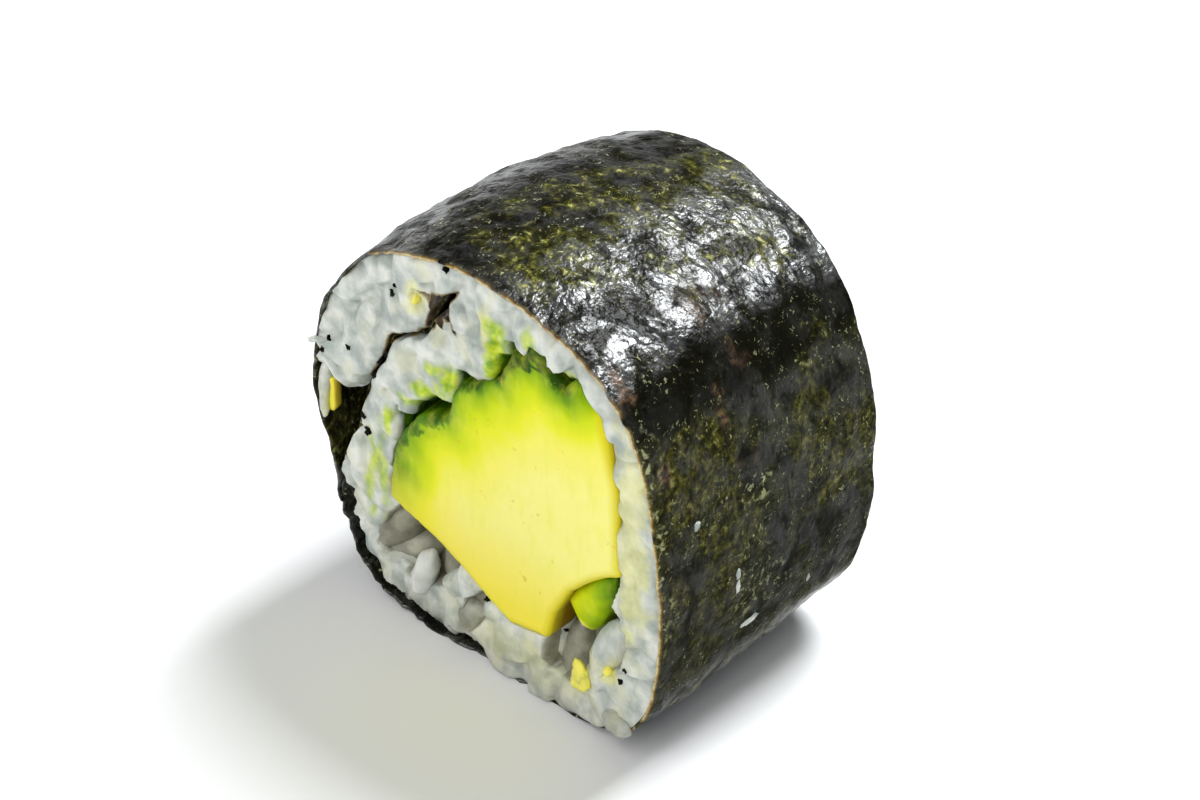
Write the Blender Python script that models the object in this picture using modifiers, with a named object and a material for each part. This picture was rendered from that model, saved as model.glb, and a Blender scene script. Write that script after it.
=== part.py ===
"""One piece of avocado maki, lying on its side as it is served.

The roll's axis runs along Y. The cut face that is looked at lies at the -Y end and the
other cut face at the +Y end. The roll rests on Z = 0, and its outline stands in XZ.
A sheet of nori winds once round the roll, and its first edge is tucked into the rice.
Outlines are written in millimetres, looking along +Y, with X to the right.
"""

import math
import random

import bmesh
import bpy
from mathutils import Matrix, Vector

MM = 0.001

# The roll
LENGTH = 22.0 * MM
NORI_THICKNESS = 0.35 * MM
CLEARANCE = 0.15 * MM
STATIONS = 7
CURVE_PIECES = 4

# The nori's outer side: from the flap's end on the left, clockwise round the roll
ROUND_MM = (
    (-15.0, 9.7),
    (-16.6, 15.4),
    (-15.2, 22.3),
    (-10.2, 28.3),
    (-2.6, 30.9),
    (5.3, 30.6),
    (12.0, 27.9),
    (15.6, 22.1),
    (16.6, 15.0),
    (16.4, 8.0),
    (14.4, 2.6),
    (8.6, 0.1),
    (1.5, 0.0),
    (-5.5, 0.0),
    (-11.9, 1.8),
    (-14.5, 8.0),
)
# From there the nori's first edge leaves the left side and climbs through the rice
TUCK_MM = (
    (-12.6, 13.4),
    (-10.8, 18.0),
    (-7.9, 22.6),
    (-4.7, 25.6),
    (-3.0, 28.2),
)
# Above this height rice fills the space between the flap and the tucked edge
LOBE_FLOOR = 16.6 * MM

# The avocado
WEDGE_MM = (
    (-9.4, 9.2),
    (-8.7, 13.6),
    (-7.2, 16.3),
    (-3.0, 18.9),
    (0.5, 22.9),
    (5.0, 27.5),
    (7.0, 27.5),
    (8.9, 25.9),
    (11.5, 25.3),
    (12.5, 20.7),
    (12.8, 14.9),
    (10.3, 13.3),
    (7.9, 11.0),
    (6.5, 8.3),
    (6.2, 5.6),
    (2.6, 4.9),
    (-4.0, 7.7),
)
SLIVER_MM = (
    (7.0, 8.7),
    (8.1, 10.85),
    (10.4, 13.1),
    (11.7, 13.9),
    (11.9, 12.3),
    (10.7, 9.2),
    (9.2, 7.4),
    (7.6, 7.4),
)
SLIVER_RECESS = 2.0 * MM
AVOCADO_BEVEL = 0.35 * MM

# The rice
CORE_RECESS = 1.25 * MM
GRAIN_WIDTH = 2.7 * MM
GRAIN_LENGTH = 6.2 * MM
LEAST_WIDTH = 1.7 * MM
STUBBY = 0.8
GRAIN_SIDES = 6
GRAIN_RINGS = 4
GRAIN_OVERLAP = 0.84
GRAIN_TURNS = 8
LYING_TRIES = 1400
GRAIN_TRIES = 3200
GRAIN_UNEVENNESS = 0.3 * MM
GRAIN_SEED = 11
# Hollows in the front cut face: centre x, centre z, half width, half height, depth
HOLLOWS_MM = (
    (-6.4, 4.9, 4.6, 2.5, 3.2),
    (10.3, 6.0, 3.3, 3.0, 3.4),
    (-4.1, 27.4, 1.7, 1.5, 2.4),
)
# The rice sinks behind the nori's edge along the left side and the bottom
EDGE_RECESS = 0.8 * MM
EDGE_RECESS_FROM = -8.0 * MM
EDGE_RECESS_BAND = 5.0 * MM

# The roll is squeezed where the knife went through, and fuller between, up and to the left
SWELL = 0.036
SWELL_FROM = 12.0 * MM
BACK_NARROWING = 0.035
BACK_SLANT = 0.045

FRONT = -LENGTH / 2
BACK = LENGTH / 2
MIDDLE_HEIGHT = 15.5 * MM


def clear_scene():
    for obj in list(bpy.data.objects):
        bpy.data.objects.remove(obj, do_unlink=True)


def new_collection(name):
    collection = bpy.data.collections.new(name)
    bpy.context.scene.collection.children.link(collection)
    return collection


def plain_material(name, colour, roughness):
    material = bpy.data.materials.new(name)
    material.use_nodes = True
    shader = material.node_tree.nodes["Principled BSDF"]
    shader.inputs["Base Color"].default_value = (*colour, 1.0)
    shader.inputs["Roughness"].default_value = roughness
    shader.inputs["Metallic"].default_value = 0.0
    return material


def metres(points_mm):
    return [Vector((x * MM, z * MM)) for x, z in points_mm]


# Outlines


def left_of(direction):
    return Vector((-direction.y, direction.x))


def smooth_line(points, pieces):
    """A Catmull-Rom curve through the points, which stops at both ends."""
    padded = [2 * points[0] - points[1], *points, 2 * points[-1] - points[-2]]
    line = [points[0]]
    for a, b, c, d in zip(padded, padded[1:], padded[2:], padded[3:]):
        for i in range(1, pieces + 1):
            t = i / pieces
            line.append(
                0.5 * (2 * b + (c - a) * t + (2 * a - 5 * b + 4 * c - d) * t * t
                       + (3 * b - a - 3 * c + d) * t ** 3)
            )
    return line


def nori_path():
    """The nori's outer side, and how many of its last points lie in the rice."""
    path = smooth_line(metres(ROUND_MM + TUCK_MM), CURVE_PIECES)
    return [Vector((p.x, max(0.0, p.y))) for p in path], CURVE_PIECES * len(TUCK_MM)


def offset_line(points, distance):
    """The line moved to its right-hand side, which is inwards on a clockwise path."""
    moved = []
    for i, point in enumerate(points):
        before = (point - points[i - 1]).normalized() if i else None
        after = (points[i + 1] - point).normalized() if i + 1 < len(points) else None
        direction = ((before or after) + (after or before)).normalized()
        moved.append(point - left_of(direction) * distance)
    return moved


def rice_outline():
    """The rice's own outline: inside the nori, round the tucked edge and back along it."""
    path, tuck_count = nori_path()
    inner = offset_line(path, NORI_THICKNESS + CLEARANCE)
    start = next(i for i, p in enumerate(inner) if p.y > LOBE_FLOOR)
    behind = offset_line(path[-tuck_count:], -CLEARANCE)
    end = (path[-1] - path[-2]).normalized() * CLEARANCE
    inner[-1] += end
    behind[-1] += end
    lobe_side = [p for p in reversed(behind) if p.y > LOBE_FLOOR + NORI_THICKNESS]
    return inner[start:] + lobe_side


def grown_outline(points, distance):
    """A closed clockwise outline, made larger all round."""
    ring = [points[-1], *points, points[0]]
    return offset_line(ring, -distance)[1:-1]


# Distances in the outline's plane


def inside(outline, point):
    crossings = False
    for a, b in zip(outline, outline[1:] + outline[:1]):
        if (a.y > point.y) != (b.y > point.y):
            if point.x < (b.x - a.x) * (point.y - a.y) / (b.y - a.y) + a.x:
                crossings = not crossings
    return crossings


def distance_to(outline, point):
    nearest = math.inf
    for a, b in zip(outline, outline[1:] + outline[:1]):
        side = b - a
        t = max(0.0, min(1.0, (point - a).dot(side) / side.length_squared))
        nearest = min(nearest, (a + side * t - point).length)
    return nearest


def room_at(point, outline, holes):
    """How far the point lies from everything round the rice, or 0 outside the rice."""
    if not inside(outline, point) or any(inside(hole, point) for hole in holes):
        return 0.0
    return min(distance_to(ring, point) for ring in (outline, *holes))


# The roll's shape along its axis


def squeezed(point):
    """Where a point of the straight roll goes in the real one."""
    swell = SWELL * (1.0 - (point.y / BACK) ** 2)
    share = (point.y - FRONT) / LENGTH
    x = point.x * (1.0 - BACK_NARROWING * share) + (point.x - SWELL_FROM) * swell
    y = point.y + share * BACK_SLANT * (point.z - MIDDLE_HEIGHT - point.x)
    return Vector((x, y, point.z * (1.0 + swell)))


def squeeze(mesh):
    for vertex in mesh.vertices:
        vertex.co = squeezed(vertex.co)
    mesh.update()


# Solids


def station(share, front=FRONT, back=BACK):
    return front + (back - front) * share


def prism_mesh(name, outline, front, back):
    """A solid with this outline, lengthways in STATIONS steps so that it can be squeezed."""
    bm = bmesh.new()
    rings = []
    for i in range(STATIONS):
        y = station(i / (STATIONS - 1), front, back)
        rings.append([bm.verts.new((p.x, y, p.y)) for p in outline])
    for ring, after in zip(rings, rings[1:]):
        for j in range(len(outline)):
            bm.faces.new((ring[j - 1], ring[j], after[j], after[j - 1]))
    bm.faces.new(rings[0])
    bm.faces.new(reversed(rings[-1]))
    bmesh.ops.recalc_face_normals(bm, faces=bm.faces)
    mesh = bpy.data.meshes.new(name)
    bm.to_mesh(mesh)
    bm.free()
    return mesh


def add_object(name, mesh, collection, material=None):
    obj = bpy.data.objects.new(name, mesh)
    collection.objects.link(obj)
    if material:
        mesh.materials.clear()
        mesh.materials.append(material)
    return obj


def make_helper(obj):
    obj.hide_render = True
    obj.display_type = "WIRE"


def add_boolean(obj, operation, collection):
    modifier = obj.modifiers.new(operation.lower(), "BOOLEAN")
    modifier.operation = operation
    modifier.operand_type = "COLLECTION"
    modifier.collection = collection
    modifier.solver = "EXACT"


def apply_modifiers(obj):
    bpy.context.view_layer.update()
    evaluated = obj.evaluated_get(bpy.context.evaluated_depsgraph_get())
    made = bpy.data.meshes.new_from_object(evaluated)
    obj.modifiers.clear()
    obj.data = made


def remove_collection(collection):
    for obj in list(collection.objects):
        bpy.data.objects.remove(obj, do_unlink=True)
    bpy.data.collections.remove(collection)


def keep_largest_body(mesh):
    """Drops loose scraps and the walls of sealed hollows, which fills the hollows."""
    bm = bmesh.new()
    bm.from_mesh(mesh)
    unseen = set(bm.faces)
    bodies = []
    while unseen:
        body, frontier = set(), [unseen.pop()]
        while frontier:
            face = frontier.pop()
            body.add(face)
            near = {f for edge in face.edges for f in edge.link_faces} & unseen
            unseen -= near
            frontier += near
        bodies.append(body)
    bodies.sort(key=len)
    for body in bodies[:-1]:
        bmesh.ops.delete(bm, geom=list(body), context="FACES")
    bm.to_mesh(mesh)
    bm.free()


def build_nori(collection, material):
    """The sheet as an open surface, which Solidify thickens inwards."""
    path, _ = nori_path()
    bm = bmesh.new()
    rows = []
    for i in range(STATIONS):
        y = station(i / (STATIONS - 1))
        rows.append([bm.verts.new(squeezed(Vector((p.x, y, p.y)))) for p in path])
    for row, after in zip(rows, rows[1:]):
        for j in range(len(path) - 1):
            bm.faces.new((row[j], row[j + 1], after[j + 1], after[j]))
    mesh = bpy.data.meshes.new("nori_sheet")
    bm.to_mesh(mesh)
    bm.free()
    obj = add_object("nori_sheet", mesh, collection, material)
    wall = obj.modifiers.new("wall", "SOLIDIFY")
    wall.thickness = NORI_THICKNESS
    wall.offset = -1.0
    wall.use_even_offset = True
    mesh.shade_smooth()
    mesh.set_sharp_from_angle(angle=math.radians(40))
    return obj


def build_avocado(name, outline_mm, front, collection, material):
    mesh = prism_mesh(name, metres(outline_mm), front, BACK)
    squeeze(mesh)
    obj = add_object(name, mesh, collection, material)
    rounded = obj.modifiers.new("rounded edges", "BEVEL")
    rounded.width = AVOCADO_BEVEL
    rounded.segments = 1
    rounded.limit_method = "ANGLE"
    rounded.angle_limit = math.radians(60)
    return obj


def add_hollow(centre, half_width, half_height, depth, collection):
    """An egg-shaped cutter, with its middle in the front of the core."""
    bm = bmesh.new()
    bmesh.ops.create_uvsphere(bm, u_segments=10, v_segments=6, radius=1.0)
    bmesh.ops.scale(bm, verts=bm.verts, vec=(half_width, depth, half_height))
    bmesh.ops.translate(bm, verts=bm.verts, vec=(centre.x, FRONT + CORE_RECESS, centre.y))
    mesh = bpy.data.meshes.new("hollow")
    bm.to_mesh(mesh)
    bm.free()
    make_helper(add_object("hollow", mesh, collection))


def hollow_depth(point):
    """How deep the front cut face is hollowed at this point of the outline's plane."""
    deepest = 0.0
    for x, z, half_width, half_height, depth in HOLLOWS_MM:
        reach = math.hypot((point.x / MM - x) / half_width, (point.y / MM - z) / half_height)
        if reach < 1.0:
            deepest = max(deepest, depth * MM * math.sqrt(1.0 - reach * reach))
    return deepest


def edge_recess(point):
    left = max(0.0, (EDGE_RECESS_FROM - point.x) / EDGE_RECESS_BAND)
    low = max(0.0, 1.0 - point.y / EDGE_RECESS_BAND) if point.x < 0 else 0.0
    return EDGE_RECESS * min(1.0, left + low)


def grain_half_length(point, width, turn, outline, holes):
    """Half the length that a lying grain may have here, or None if none fits."""
    for share in (1.0, STUBBY):
        half = share * GRAIN_LENGTH / 2
        tip = Vector((math.cos(turn), math.sin(turn))) * (half - width / 2)
        ends = (room_at(point + tip, outline, holes), room_at(point - tip, outline, holes))
        if min(ends) >= 0.45 * width:
            return half
    return None


def is_clear(spots, width, chosen):
    return all(
        (spot - other).length > GRAIN_OVERLAP * (width + grain["width"]) / 2
        for grain in chosen
        for other in grain["spots"]
        for spot in spots
    )


def choose_grains(rng, outline, holes):
    """The grains of one cut face: lying ones first, then upright ones where room is left."""
    low = Vector((min(p.x for p in outline), min(p.y for p in outline)))
    high = Vector((max(p.x for p in outline), max(p.y for p in outline)))
    chosen = []
    for attempt in range(GRAIN_TRIES):
        point = Vector((rng.uniform(low.x, high.x), rng.uniform(low.y, high.y)))
        width = min(rng.uniform(0.8, 1.0) * GRAIN_WIDTH, 2 * room_at(point, outline, holes))
        if width < LEAST_WIDTH or not is_clear([point], width, chosen):
            continue
        if attempt > LYING_TRIES:
            chosen.append({"point": point, "turn": 0.0, "width": width, "half": None, "spots": [point]})
            continue
        for _ in range(GRAIN_TURNS):
            turn = rng.uniform(0.0, math.pi)
            half = grain_half_length(point, width, turn, outline, holes)
            if half is None:
                continue
            reach = Vector((math.cos(turn), math.sin(turn))) * (half - width / 2)
            spots = [point + reach * share for share in (-1.0, -0.5, 0.0, 0.5, 1.0)]
            if is_clear(spots, width, chosen):
                chosen.append({"point": point, "turn": turn, "width": width, "half": half, "spots": spots})
                break
    return chosen


def add_grain(rng, grain, end, collection):
    """One grain half sunk in the core's end, with its top cut level with the cut face."""
    side = -1.0 if end == FRONT else 1.0
    point, width = grain["point"], grain["width"]
    sunk = hollow_depth(point) + edge_recess(point) if end == FRONT else 0.0
    cut = end - side * (sunk + rng.uniform(0.0, GRAIN_UNEVENNESS))
    middle = end - side * (sunk + CORE_RECESS)
    lean = rng.uniform(-0.2, 0.2)
    half = grain["half"] or GRAIN_LENGTH / 2
    if grain["half"]:
        direction = Vector((math.cos(grain["turn"]), lean, math.sin(grain["turn"])))
    else:
        direction = Vector((lean, 1.0, 0.0))
    size = Matrix.Diagonal((width / 2, width / 2, half))
    turned = direction.to_track_quat("Z", "Y").to_matrix() @ size
    bm = bmesh.new()
    bmesh.ops.create_uvsphere(bm, u_segments=GRAIN_SIDES, v_segments=GRAIN_RINGS, radius=1.0)
    bmesh.ops.transform(bm, matrix=turned.to_4x4(), verts=bm.verts)
    bmesh.ops.translate(bm, verts=bm.verts, vec=(point.x, middle, point.y))
    for vertex in bm.verts:
        vertex.co.y = max(vertex.co.y, cut) if end == FRONT else min(vertex.co.y, cut)
    mesh = bpy.data.meshes.new("grain")
    bm.to_mesh(mesh)
    bm.free()
    add_object("grain", mesh, collection)


def build_rice(collection, material):
    outline = rice_outline()
    holes = [grown_outline(metres(ring), CLEARANCE) for ring in (WEDGE_MM, SLIVER_MM)]
    mesh = prism_mesh("rice", outline, FRONT + CORE_RECESS, BACK - CORE_RECESS)
    obj = add_object("rice", mesh, collection, material)
    cutters = new_collection("rice_cutters")
    for i, hole in enumerate(holes):
        hole_mesh = prism_mesh(f"filling_{i}", hole, FRONT - CORE_RECESS, BACK + CORE_RECESS)
        make_helper(add_object(f"filling_{i}", hole_mesh, cutters))
    for x, z, half_width, half_height, depth in HOLLOWS_MM:
        add_hollow(Vector((x, z)) * MM, half_width * MM, half_height * MM, depth * MM, cutters)
    add_boolean(obj, "DIFFERENCE", cutters)
    apply_modifiers(obj)
    remove_collection(cutters)
    grains = new_collection("rice_grains")
    rng = random.Random(GRAIN_SEED)
    for end in (FRONT, BACK):
        for grain in choose_grains(rng, outline, holes):
            add_grain(rng, grain, end, grains)
    add_boolean(obj, "UNION", grains)
    apply_modifiers(obj)
    remove_collection(grains)
    keep_largest_body(obj.data)
    squeeze(obj.data)
    obj.data.materials.clear()
    obj.data.materials.append(material)
    return obj


def centre(objects):
    """Moves the meshes so that the middle of the roll's underside is the origin."""
    bpy.context.view_layer.update()
    corners = [Vector(corner) for obj in objects for corner in obj.bound_box]
    low = Vector((min(c[i] for c in corners) for i in range(3)))
    high = Vector((max(c[i] for c in corners) for i in range(3)))
    middle = (low + high) / 2
    for obj in objects:
        obj.data.transform(Matrix.Translation((-middle.x, -middle.y, -low.z)))


def main():
    clear_scene()
    maki = new_collection("avocado_maki")
    nori = plain_material("nori", (0.022, 0.026, 0.018), 0.35)
    rice = plain_material("rice", (0.80, 0.82, 0.76), 0.45)
    flesh = plain_material("avocado", (0.80, 0.72, 0.16), 0.4)
    build_nori(maki, nori)
    build_rice(maki, rice)
    build_avocado("avocado_wedge", WEDGE_MM, FRONT, maki, flesh)
    build_avocado("avocado_sliver", SLIVER_MM, FRONT + SLIVER_RECESS, maki, flesh)
    centre(maki.objects)


main()
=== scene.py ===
import math
import random

import bmesh
import bpy
import numpy as np
from mathutils import Euler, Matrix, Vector, noise
from mathutils.geometry import delaunay_2d_cdt


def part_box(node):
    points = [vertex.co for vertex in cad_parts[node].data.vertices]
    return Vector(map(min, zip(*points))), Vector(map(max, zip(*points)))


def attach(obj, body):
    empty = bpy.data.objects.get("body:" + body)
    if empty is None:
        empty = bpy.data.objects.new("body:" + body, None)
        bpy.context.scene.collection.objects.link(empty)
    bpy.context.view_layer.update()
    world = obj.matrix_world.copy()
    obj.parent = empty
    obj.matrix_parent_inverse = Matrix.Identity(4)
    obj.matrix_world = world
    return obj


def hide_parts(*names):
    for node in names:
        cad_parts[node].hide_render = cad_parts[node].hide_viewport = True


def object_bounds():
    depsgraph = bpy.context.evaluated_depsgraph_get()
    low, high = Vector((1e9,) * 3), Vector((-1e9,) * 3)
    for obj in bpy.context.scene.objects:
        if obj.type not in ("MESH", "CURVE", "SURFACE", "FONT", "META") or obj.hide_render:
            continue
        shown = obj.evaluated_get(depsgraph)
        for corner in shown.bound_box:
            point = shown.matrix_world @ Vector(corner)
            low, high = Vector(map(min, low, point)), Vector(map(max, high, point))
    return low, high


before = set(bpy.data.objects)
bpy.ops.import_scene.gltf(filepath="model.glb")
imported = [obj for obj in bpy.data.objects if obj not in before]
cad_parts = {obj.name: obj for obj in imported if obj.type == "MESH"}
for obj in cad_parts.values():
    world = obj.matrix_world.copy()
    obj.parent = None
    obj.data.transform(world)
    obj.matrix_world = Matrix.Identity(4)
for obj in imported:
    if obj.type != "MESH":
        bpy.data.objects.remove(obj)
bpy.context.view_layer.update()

# Lengths are in millimetres until place() puts them in the frame. The roll's axis runs along Y,
# X is to the right of the front cut face, and Z is up.
MM = 0.001

# The roll, as its solids are built
LENGTH = 22.0
FRONT = -LENGTH / 2
BACK = LENGTH / 2
MIDDLE_HEIGHT = 15.5
SWELL = 0.036
SWELL_FROM = 12.0
BACK_NARROWING = 0.035
BACK_SLANT = 0.045
ROUND = (
    (-15.0, 9.7), (-16.6, 15.4), (-15.2, 22.3), (-10.2, 28.3),
    (-2.6, 30.9), (5.3, 30.6), (12.0, 27.9), (15.6, 22.1),
    (16.6, 15.0), (16.4, 8.0), (14.4, 2.6), (8.6, 0.1),
    (1.5, 0.0), (-5.5, 0.0), (-11.9, 1.8), (-14.5, 8.0),
)
TUCK = ((-12.6, 13.4), (-10.8, 18.0), (-7.9, 22.6), (-4.7, 25.6), (-3.0, 28.2))
# The wedge: first its torn skin side, then the sides that were cut clean
WEDGE_SKIN = (
    (-9.4, 9.2), (-9.0, 12.0), (-8.5, 14.0), (-7.5, 15.6), (-6.3, 17.2), (-4.7, 18.3), (-3.1, 18.8),
    (-2.7, 19.9), (-2.3, 21.2), (-1.7, 22.1), (-0.6, 22.5), (0.4, 23.1), (1.9, 24.2), (2.4, 25.2),
    (3.0, 26.1), (3.3, 26.9), (4.4, 27.0), (5.0, 28.1), (6.4, 28.0), (6.4, 27.3), (7.1, 26.5),
    (8.0, 26.1), (8.6, 26.9), (9.5, 27.3), (9.9, 26.4), (11.3, 25.8),
)
WEDGE_CUT = (
    (12.5, 20.7), (12.9, 14.3), (10.7, 12.8), (8.3, 10.5), (6.8, 7.9), (6.2, 5.5), (2.6, 4.9), (-4.0, 7.7),
)
SLIVER = (
    (6.9, 8.9), (8.3, 10.4), (10.7, 12.7), (12.0, 13.5), (12.0, 12.1), (11.1, 10.4),
    (10.3, 8.7), (9.7, 7.5), (8.8, 6.6), (7.9, 6.5), (7.4, 7.5),
)
SLIVER_RECESS = 2.0
# Hollows in the front cut face: outline and depth. They reach a little under the wedge's edge.
HOLLOWS = (
    (((-10.9, 4.6), (-9.9, 7.5), (-8.8, 8.5), (-8.1, 9.7), (-4.0, 8.3), (-2.2, 7.3),
      (-2.5, 6.2), (-3.3, 4.7), (-4.9, 3.5), (-6.2, 3.0), (-7.7, 3.3), (-8.8, 3.9), (-9.9, 3.9)), 3.0),
    (((-2.2, 4.4), (-0.9, 5.4), (0.2, 6.2), (0.0, 4.3), (-0.4, 2.8), (-1.3, 1.8),
      (-2.3, 1.4), (-2.4, 2.9)), 1.8),
    (((5.6, 3.6), (5.8, 5.8), (6.2, 6.6), (6.0, 8.6), (7.4, 11.4), (10.0, 13.8), (12.6, 14.8),
      (12.5, 13.2), (11.9, 11.2), (12.4, 10.8), (13.1, 10.3), (13.7, 10.2), (13.6, 8.5), (13.2, 7.0),
      (11.3, 5.3), (10.0, 5.4), (9.4, 4.3), (8.8, 3.1), (7.1, 2.5), (5.8, 2.7)), 4.2),
)

# The sheet of nori
SHEET = 0.19
SEEN_STEP = 0.28
HIDDEN_STEP = 0.5
SHEET_STEP_ALONG = 0.18
# How much the roll's right corners are lower at the back
NARROWING = 0.95
# Its wrinkles run round the roll, so their noise is read at places drawn together that way
DRAWN = np.array([0.65, 1.0, 1.0])
# Between the points of the line that the rice and its scraps take from the sheet
LINE_STEP = 0.25

# Where the rice has parted: the tucked sheet's crease, a torn hole at its end, and two gaps
# between rice and wedge
CREASE = (
    (-12.7, 13.4), (-11.5, 17.2), (-10.6, 18.7), (-9.3, 20.8), (-8.9, 22.0), (-8.1, 22.7),
    (-6.4, 23.7), (-5.2, 24.3), (-4.7, 25.3), (-3.8, 26.9), (-3.0, 28.2),
)
STAR_HOLE = (
    (-4.3, 27.7), (-3.0, 28.2), (-1.9, 28.8), (-2.5, 27.9), (-2.5, 27.0), (-2.0, 25.7), (-2.4, 25.7),
    (-2.9, 26.6), (-3.1, 26.7), (-3.3, 25.6), (-3.8, 25.7), (-4.0, 26.3), (-4.3, 26.0), (-4.5, 24.9),
    (-5.2, 24.6), (-5.0, 25.7), (-4.5, 26.5), (-4.5, 27.0),
)
STAR_ARM = ((-6.3, 27.4), (-5.0, 27.5), (-4.3, 27.7), (-4.5, 27.0), (-4.6, 26.5), (-5.3, 26.9))
# Where the rice has parted from the wedge: middle (x, z), how far the rice is off, and reach
GAPS = (
    (-7.7, 15.6, -0.6, 1.0, 1.7), (-6.1, 17.5, -0.2, 0.85, 1.6), (-4.4, 18.4, -0.25, 0.8, 1.4),
    (-3.1, 18.9, -0.35, 0.7, 0.9), (-1.8, 22.0, -0.35, 0.45, 0.9), (2.1, 24.9, -0.4, 0.3, 1.5),
    (3.1, 26.7, -0.45, 0.3, 0.9), (7.4, 26.4, 0.15, 0.3, 0.8),
)
# How deep the gaps reach before rice and wedge meet again
GAP_DEPTH = 2.4

# Whole grains in the hollows: middle (x, depth, z), direction, half width, half length, greyness, which is
# painted shade, or painted light where below 0
HOLLOW_GRAINS = (
    ((-9.6, 2.2, 6.3), (0.45, 0.5, 0.75), 1.6, 2.9, 1.0),
    ((-9.7, 1.45, 3.4), (0.95, 0.1, 0.2), 1.05, 2.1, 0.3),
    ((-8.6, 2.3, 4.4), (0.9, 0.5, 0.1), 1.3, 2.4, 0.8),
    ((-5.0, 3.3, 5.6), (0.1, 0.4, 1.0), 1.3, 2.4, 0.9),
    ((-6.6, 0.9, 3.7), (0.36, 0.0, 0.93), 1.0, 2.35, -0.5),
    ((-2.9, 1.0, 4.7), (0.85, 0.0, 0.5), 0.95, 2.0, 0.0),
    ((-1.6, 1.9, 3.2), (0.25, 1.0, 0.45), 1.25, 2.4, 0.7),
    ((5.2, 2.5, 4.0), (0.0, 0.15, 1.0), 1.35, 2.8, 0.25),
    ((7.1, 2.6, 3.4), (0.05, 0.2, 1.0), 1.25, 3.0, 0.9),
    ((7.7, 4.2, 5.4), (0.1, 0.2, 1.0), 1.35, 2.9, 1.0),
    ((11.1, 1.55, 6.0), (0.15, 0.12, 1.0), 1.5, 2.9, -0.1),
    ((13.2, 2.6, 8.3), (-0.1, 0.3, 1.0), 1.25, 2.5, 0.3),
)
PROTRUDING_GRAIN = ((12.9, 0.0, 2.4), (0.95, -0.25, 0.15), 0.72, 1.5, 0.45)

# Light specks on the nori: way round, Y, half reach round the roll and along it, strength
SPECKS = (
    (59.0, -1.6, 1.3, 2.0, 1.0),
    (60.0, -10.6, 8.0, 1.0, 0.8),
    (52.5, -10.3, 2.0, 1.2, 0.7),
    (66.5, -1.0, 3.0, 3.5, 0.5),
)

# Flat scraps of rice: middle (x, depth, z), half sizes and tilt in degrees
RICE_SCRAPS = (
    ((-16.0, 0.1, 19.05), (0.95, 0.3, 0.26), -22.0),
    ((-12.2, 0.9, 13.5), (0.4, 0.3, 0.3), 15.0),
    ((-14.1, 0.6, 9.8), (0.22, 0.2, 0.22), 0.0),
)
# Scraps of rice on the nori's right side: way round, Y, half size along the roll and round it
SIDE_SCRAPS = (
    (58.8, -7.3, 0.30, 0.26), (64.2, -3.7, 0.20, 0.42), (65.2, -3.65, 0.22, 0.48), (69.3, -1.5, 0.85, 0.30),
    (69.2, 4.9, 0.14, 0.30),
)

# Stains on the cut face: middle (x, z), half width, half height, strength
GREEN_SMEARS = (
    (1.6, 25.9, 0.8, 2.6, 1.3),
    (2.1, 27.2, 0.6, 1.3, 0.8),
    (-4.4, 22.0, 0.9, 0.5, 0.9),
    (-2.8, 21.5, 0.8, 1.1, 1.1),
    (-5.3, 19.7, 1.0, 0.9, 1.0),
    (-3.6, 20.5, 0.8, 0.7, 0.7),
    (-6.7, 18.3, 1.6, 0.5, 0.8),
    (-9.1, 15.8, 0.45, 1.2, 1.0),
    (-10.9, 12.3, 0.5, 1.4, 0.8),
    (-9.9, 11.5, 0.45, 3.6, 0.7),
    (-11.2, 9.4, 0.4, 2.4, 0.7),
    (4.9, 28.6, 0.7, 0.8, 0.8),
    (8.2, 26.8, 0.7, 0.6, 0.6),
)
YELLOW_SMEARS = (
    (1.0, 27.4, 0.8, 2.0, 0.5),
    (-5.9, 26.9, 0.9, 1.2, 0.45),
    (-15.5, 14.0, 0.35, 1.2, 0.45),
    (9.2, 4.6, 1.2, 2.2, 0.45),
    (12.0, 6.0, 0.9, 0.9, 0.6),
    (14.0, 17.5, 1.5, 9.0, 0.42),
    (4.0, 2.9, 6.5, 1.6, 0.2),
    (-11.0, 10.5, 1.0, 3.0, 0.2),
)
# Where dark skin is left on the wedge: middle (x, z), how far it reaches along the edge, its width
SKIN_REMAINS = (
    (-9.0, 12.0, 3.0, 0.35), (-7.9, 14.9, 2.0, 0.7), (-6.4, 16.8, 2.2, 1.1), (-4.7, 18.1, 2.2, 1.1),
    (-3.0, 19.2, 1.2, 0.6), (-1.2, 22.2, 1.6, 0.6), (2.2, 25.0, 1.6, 0.6), (4.6, 27.2, 2.2, 1.3),
    (6.6, 27.7, 1.2, 0.7), (7.7, 26.2, 1.3, 0.6),
)

# Avocado crumbs on the cut face: middle (x, z), half width, half height, tilt in degrees
CRUMBS = (
    (9.6, 4.9, 0.7, 0.95, -8.0),
    (9.65, 4.2, 0.75, 0.9, 25.0),
    (11.8, 6.0, 0.3, 0.4, 10.0),
    (-5.8, 26.7, 0.18, 0.35, 0.0),
)
# Bits of nori on the cut face: middle (x, z) and half width
NORI_BITS = (
    (-8.2, 26.0, 0.20), (-8.1, 26.6, 0.12), (-14.8, 19.7, 0.16), (-12.8, 19.9, 0.18), (-15.8, 18.1, 0.24),
    (-15.5, 18.5, 0.14), (-9.1, 20.7, 0.26), (-9.9, 19.9, 0.28), (-10.3, 18.6, 0.24), (-11.1, 13.8, 0.26),
    (-11.5, 14.9, 0.2), (-2.5, 30.5, 0.22), (-9.7, 28.4, 0.14), (-8.0, 9.05, 0.22), (-6.4, 8.35, 0.2),
    (-2.8, 6.75, 0.34), (0.15, 5.35, 0.2), (13.2, 6.1, 0.16), (13.6, 7.2, 0.14), (6.15, 5.2, 0.14),
)
# How far the green of the skin reaches into the flesh, and its shade at the edge
SKIN_FADE = 10.0
SKIN_EDGE = 0.02
SLIVER_FADE = 13.0

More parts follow.
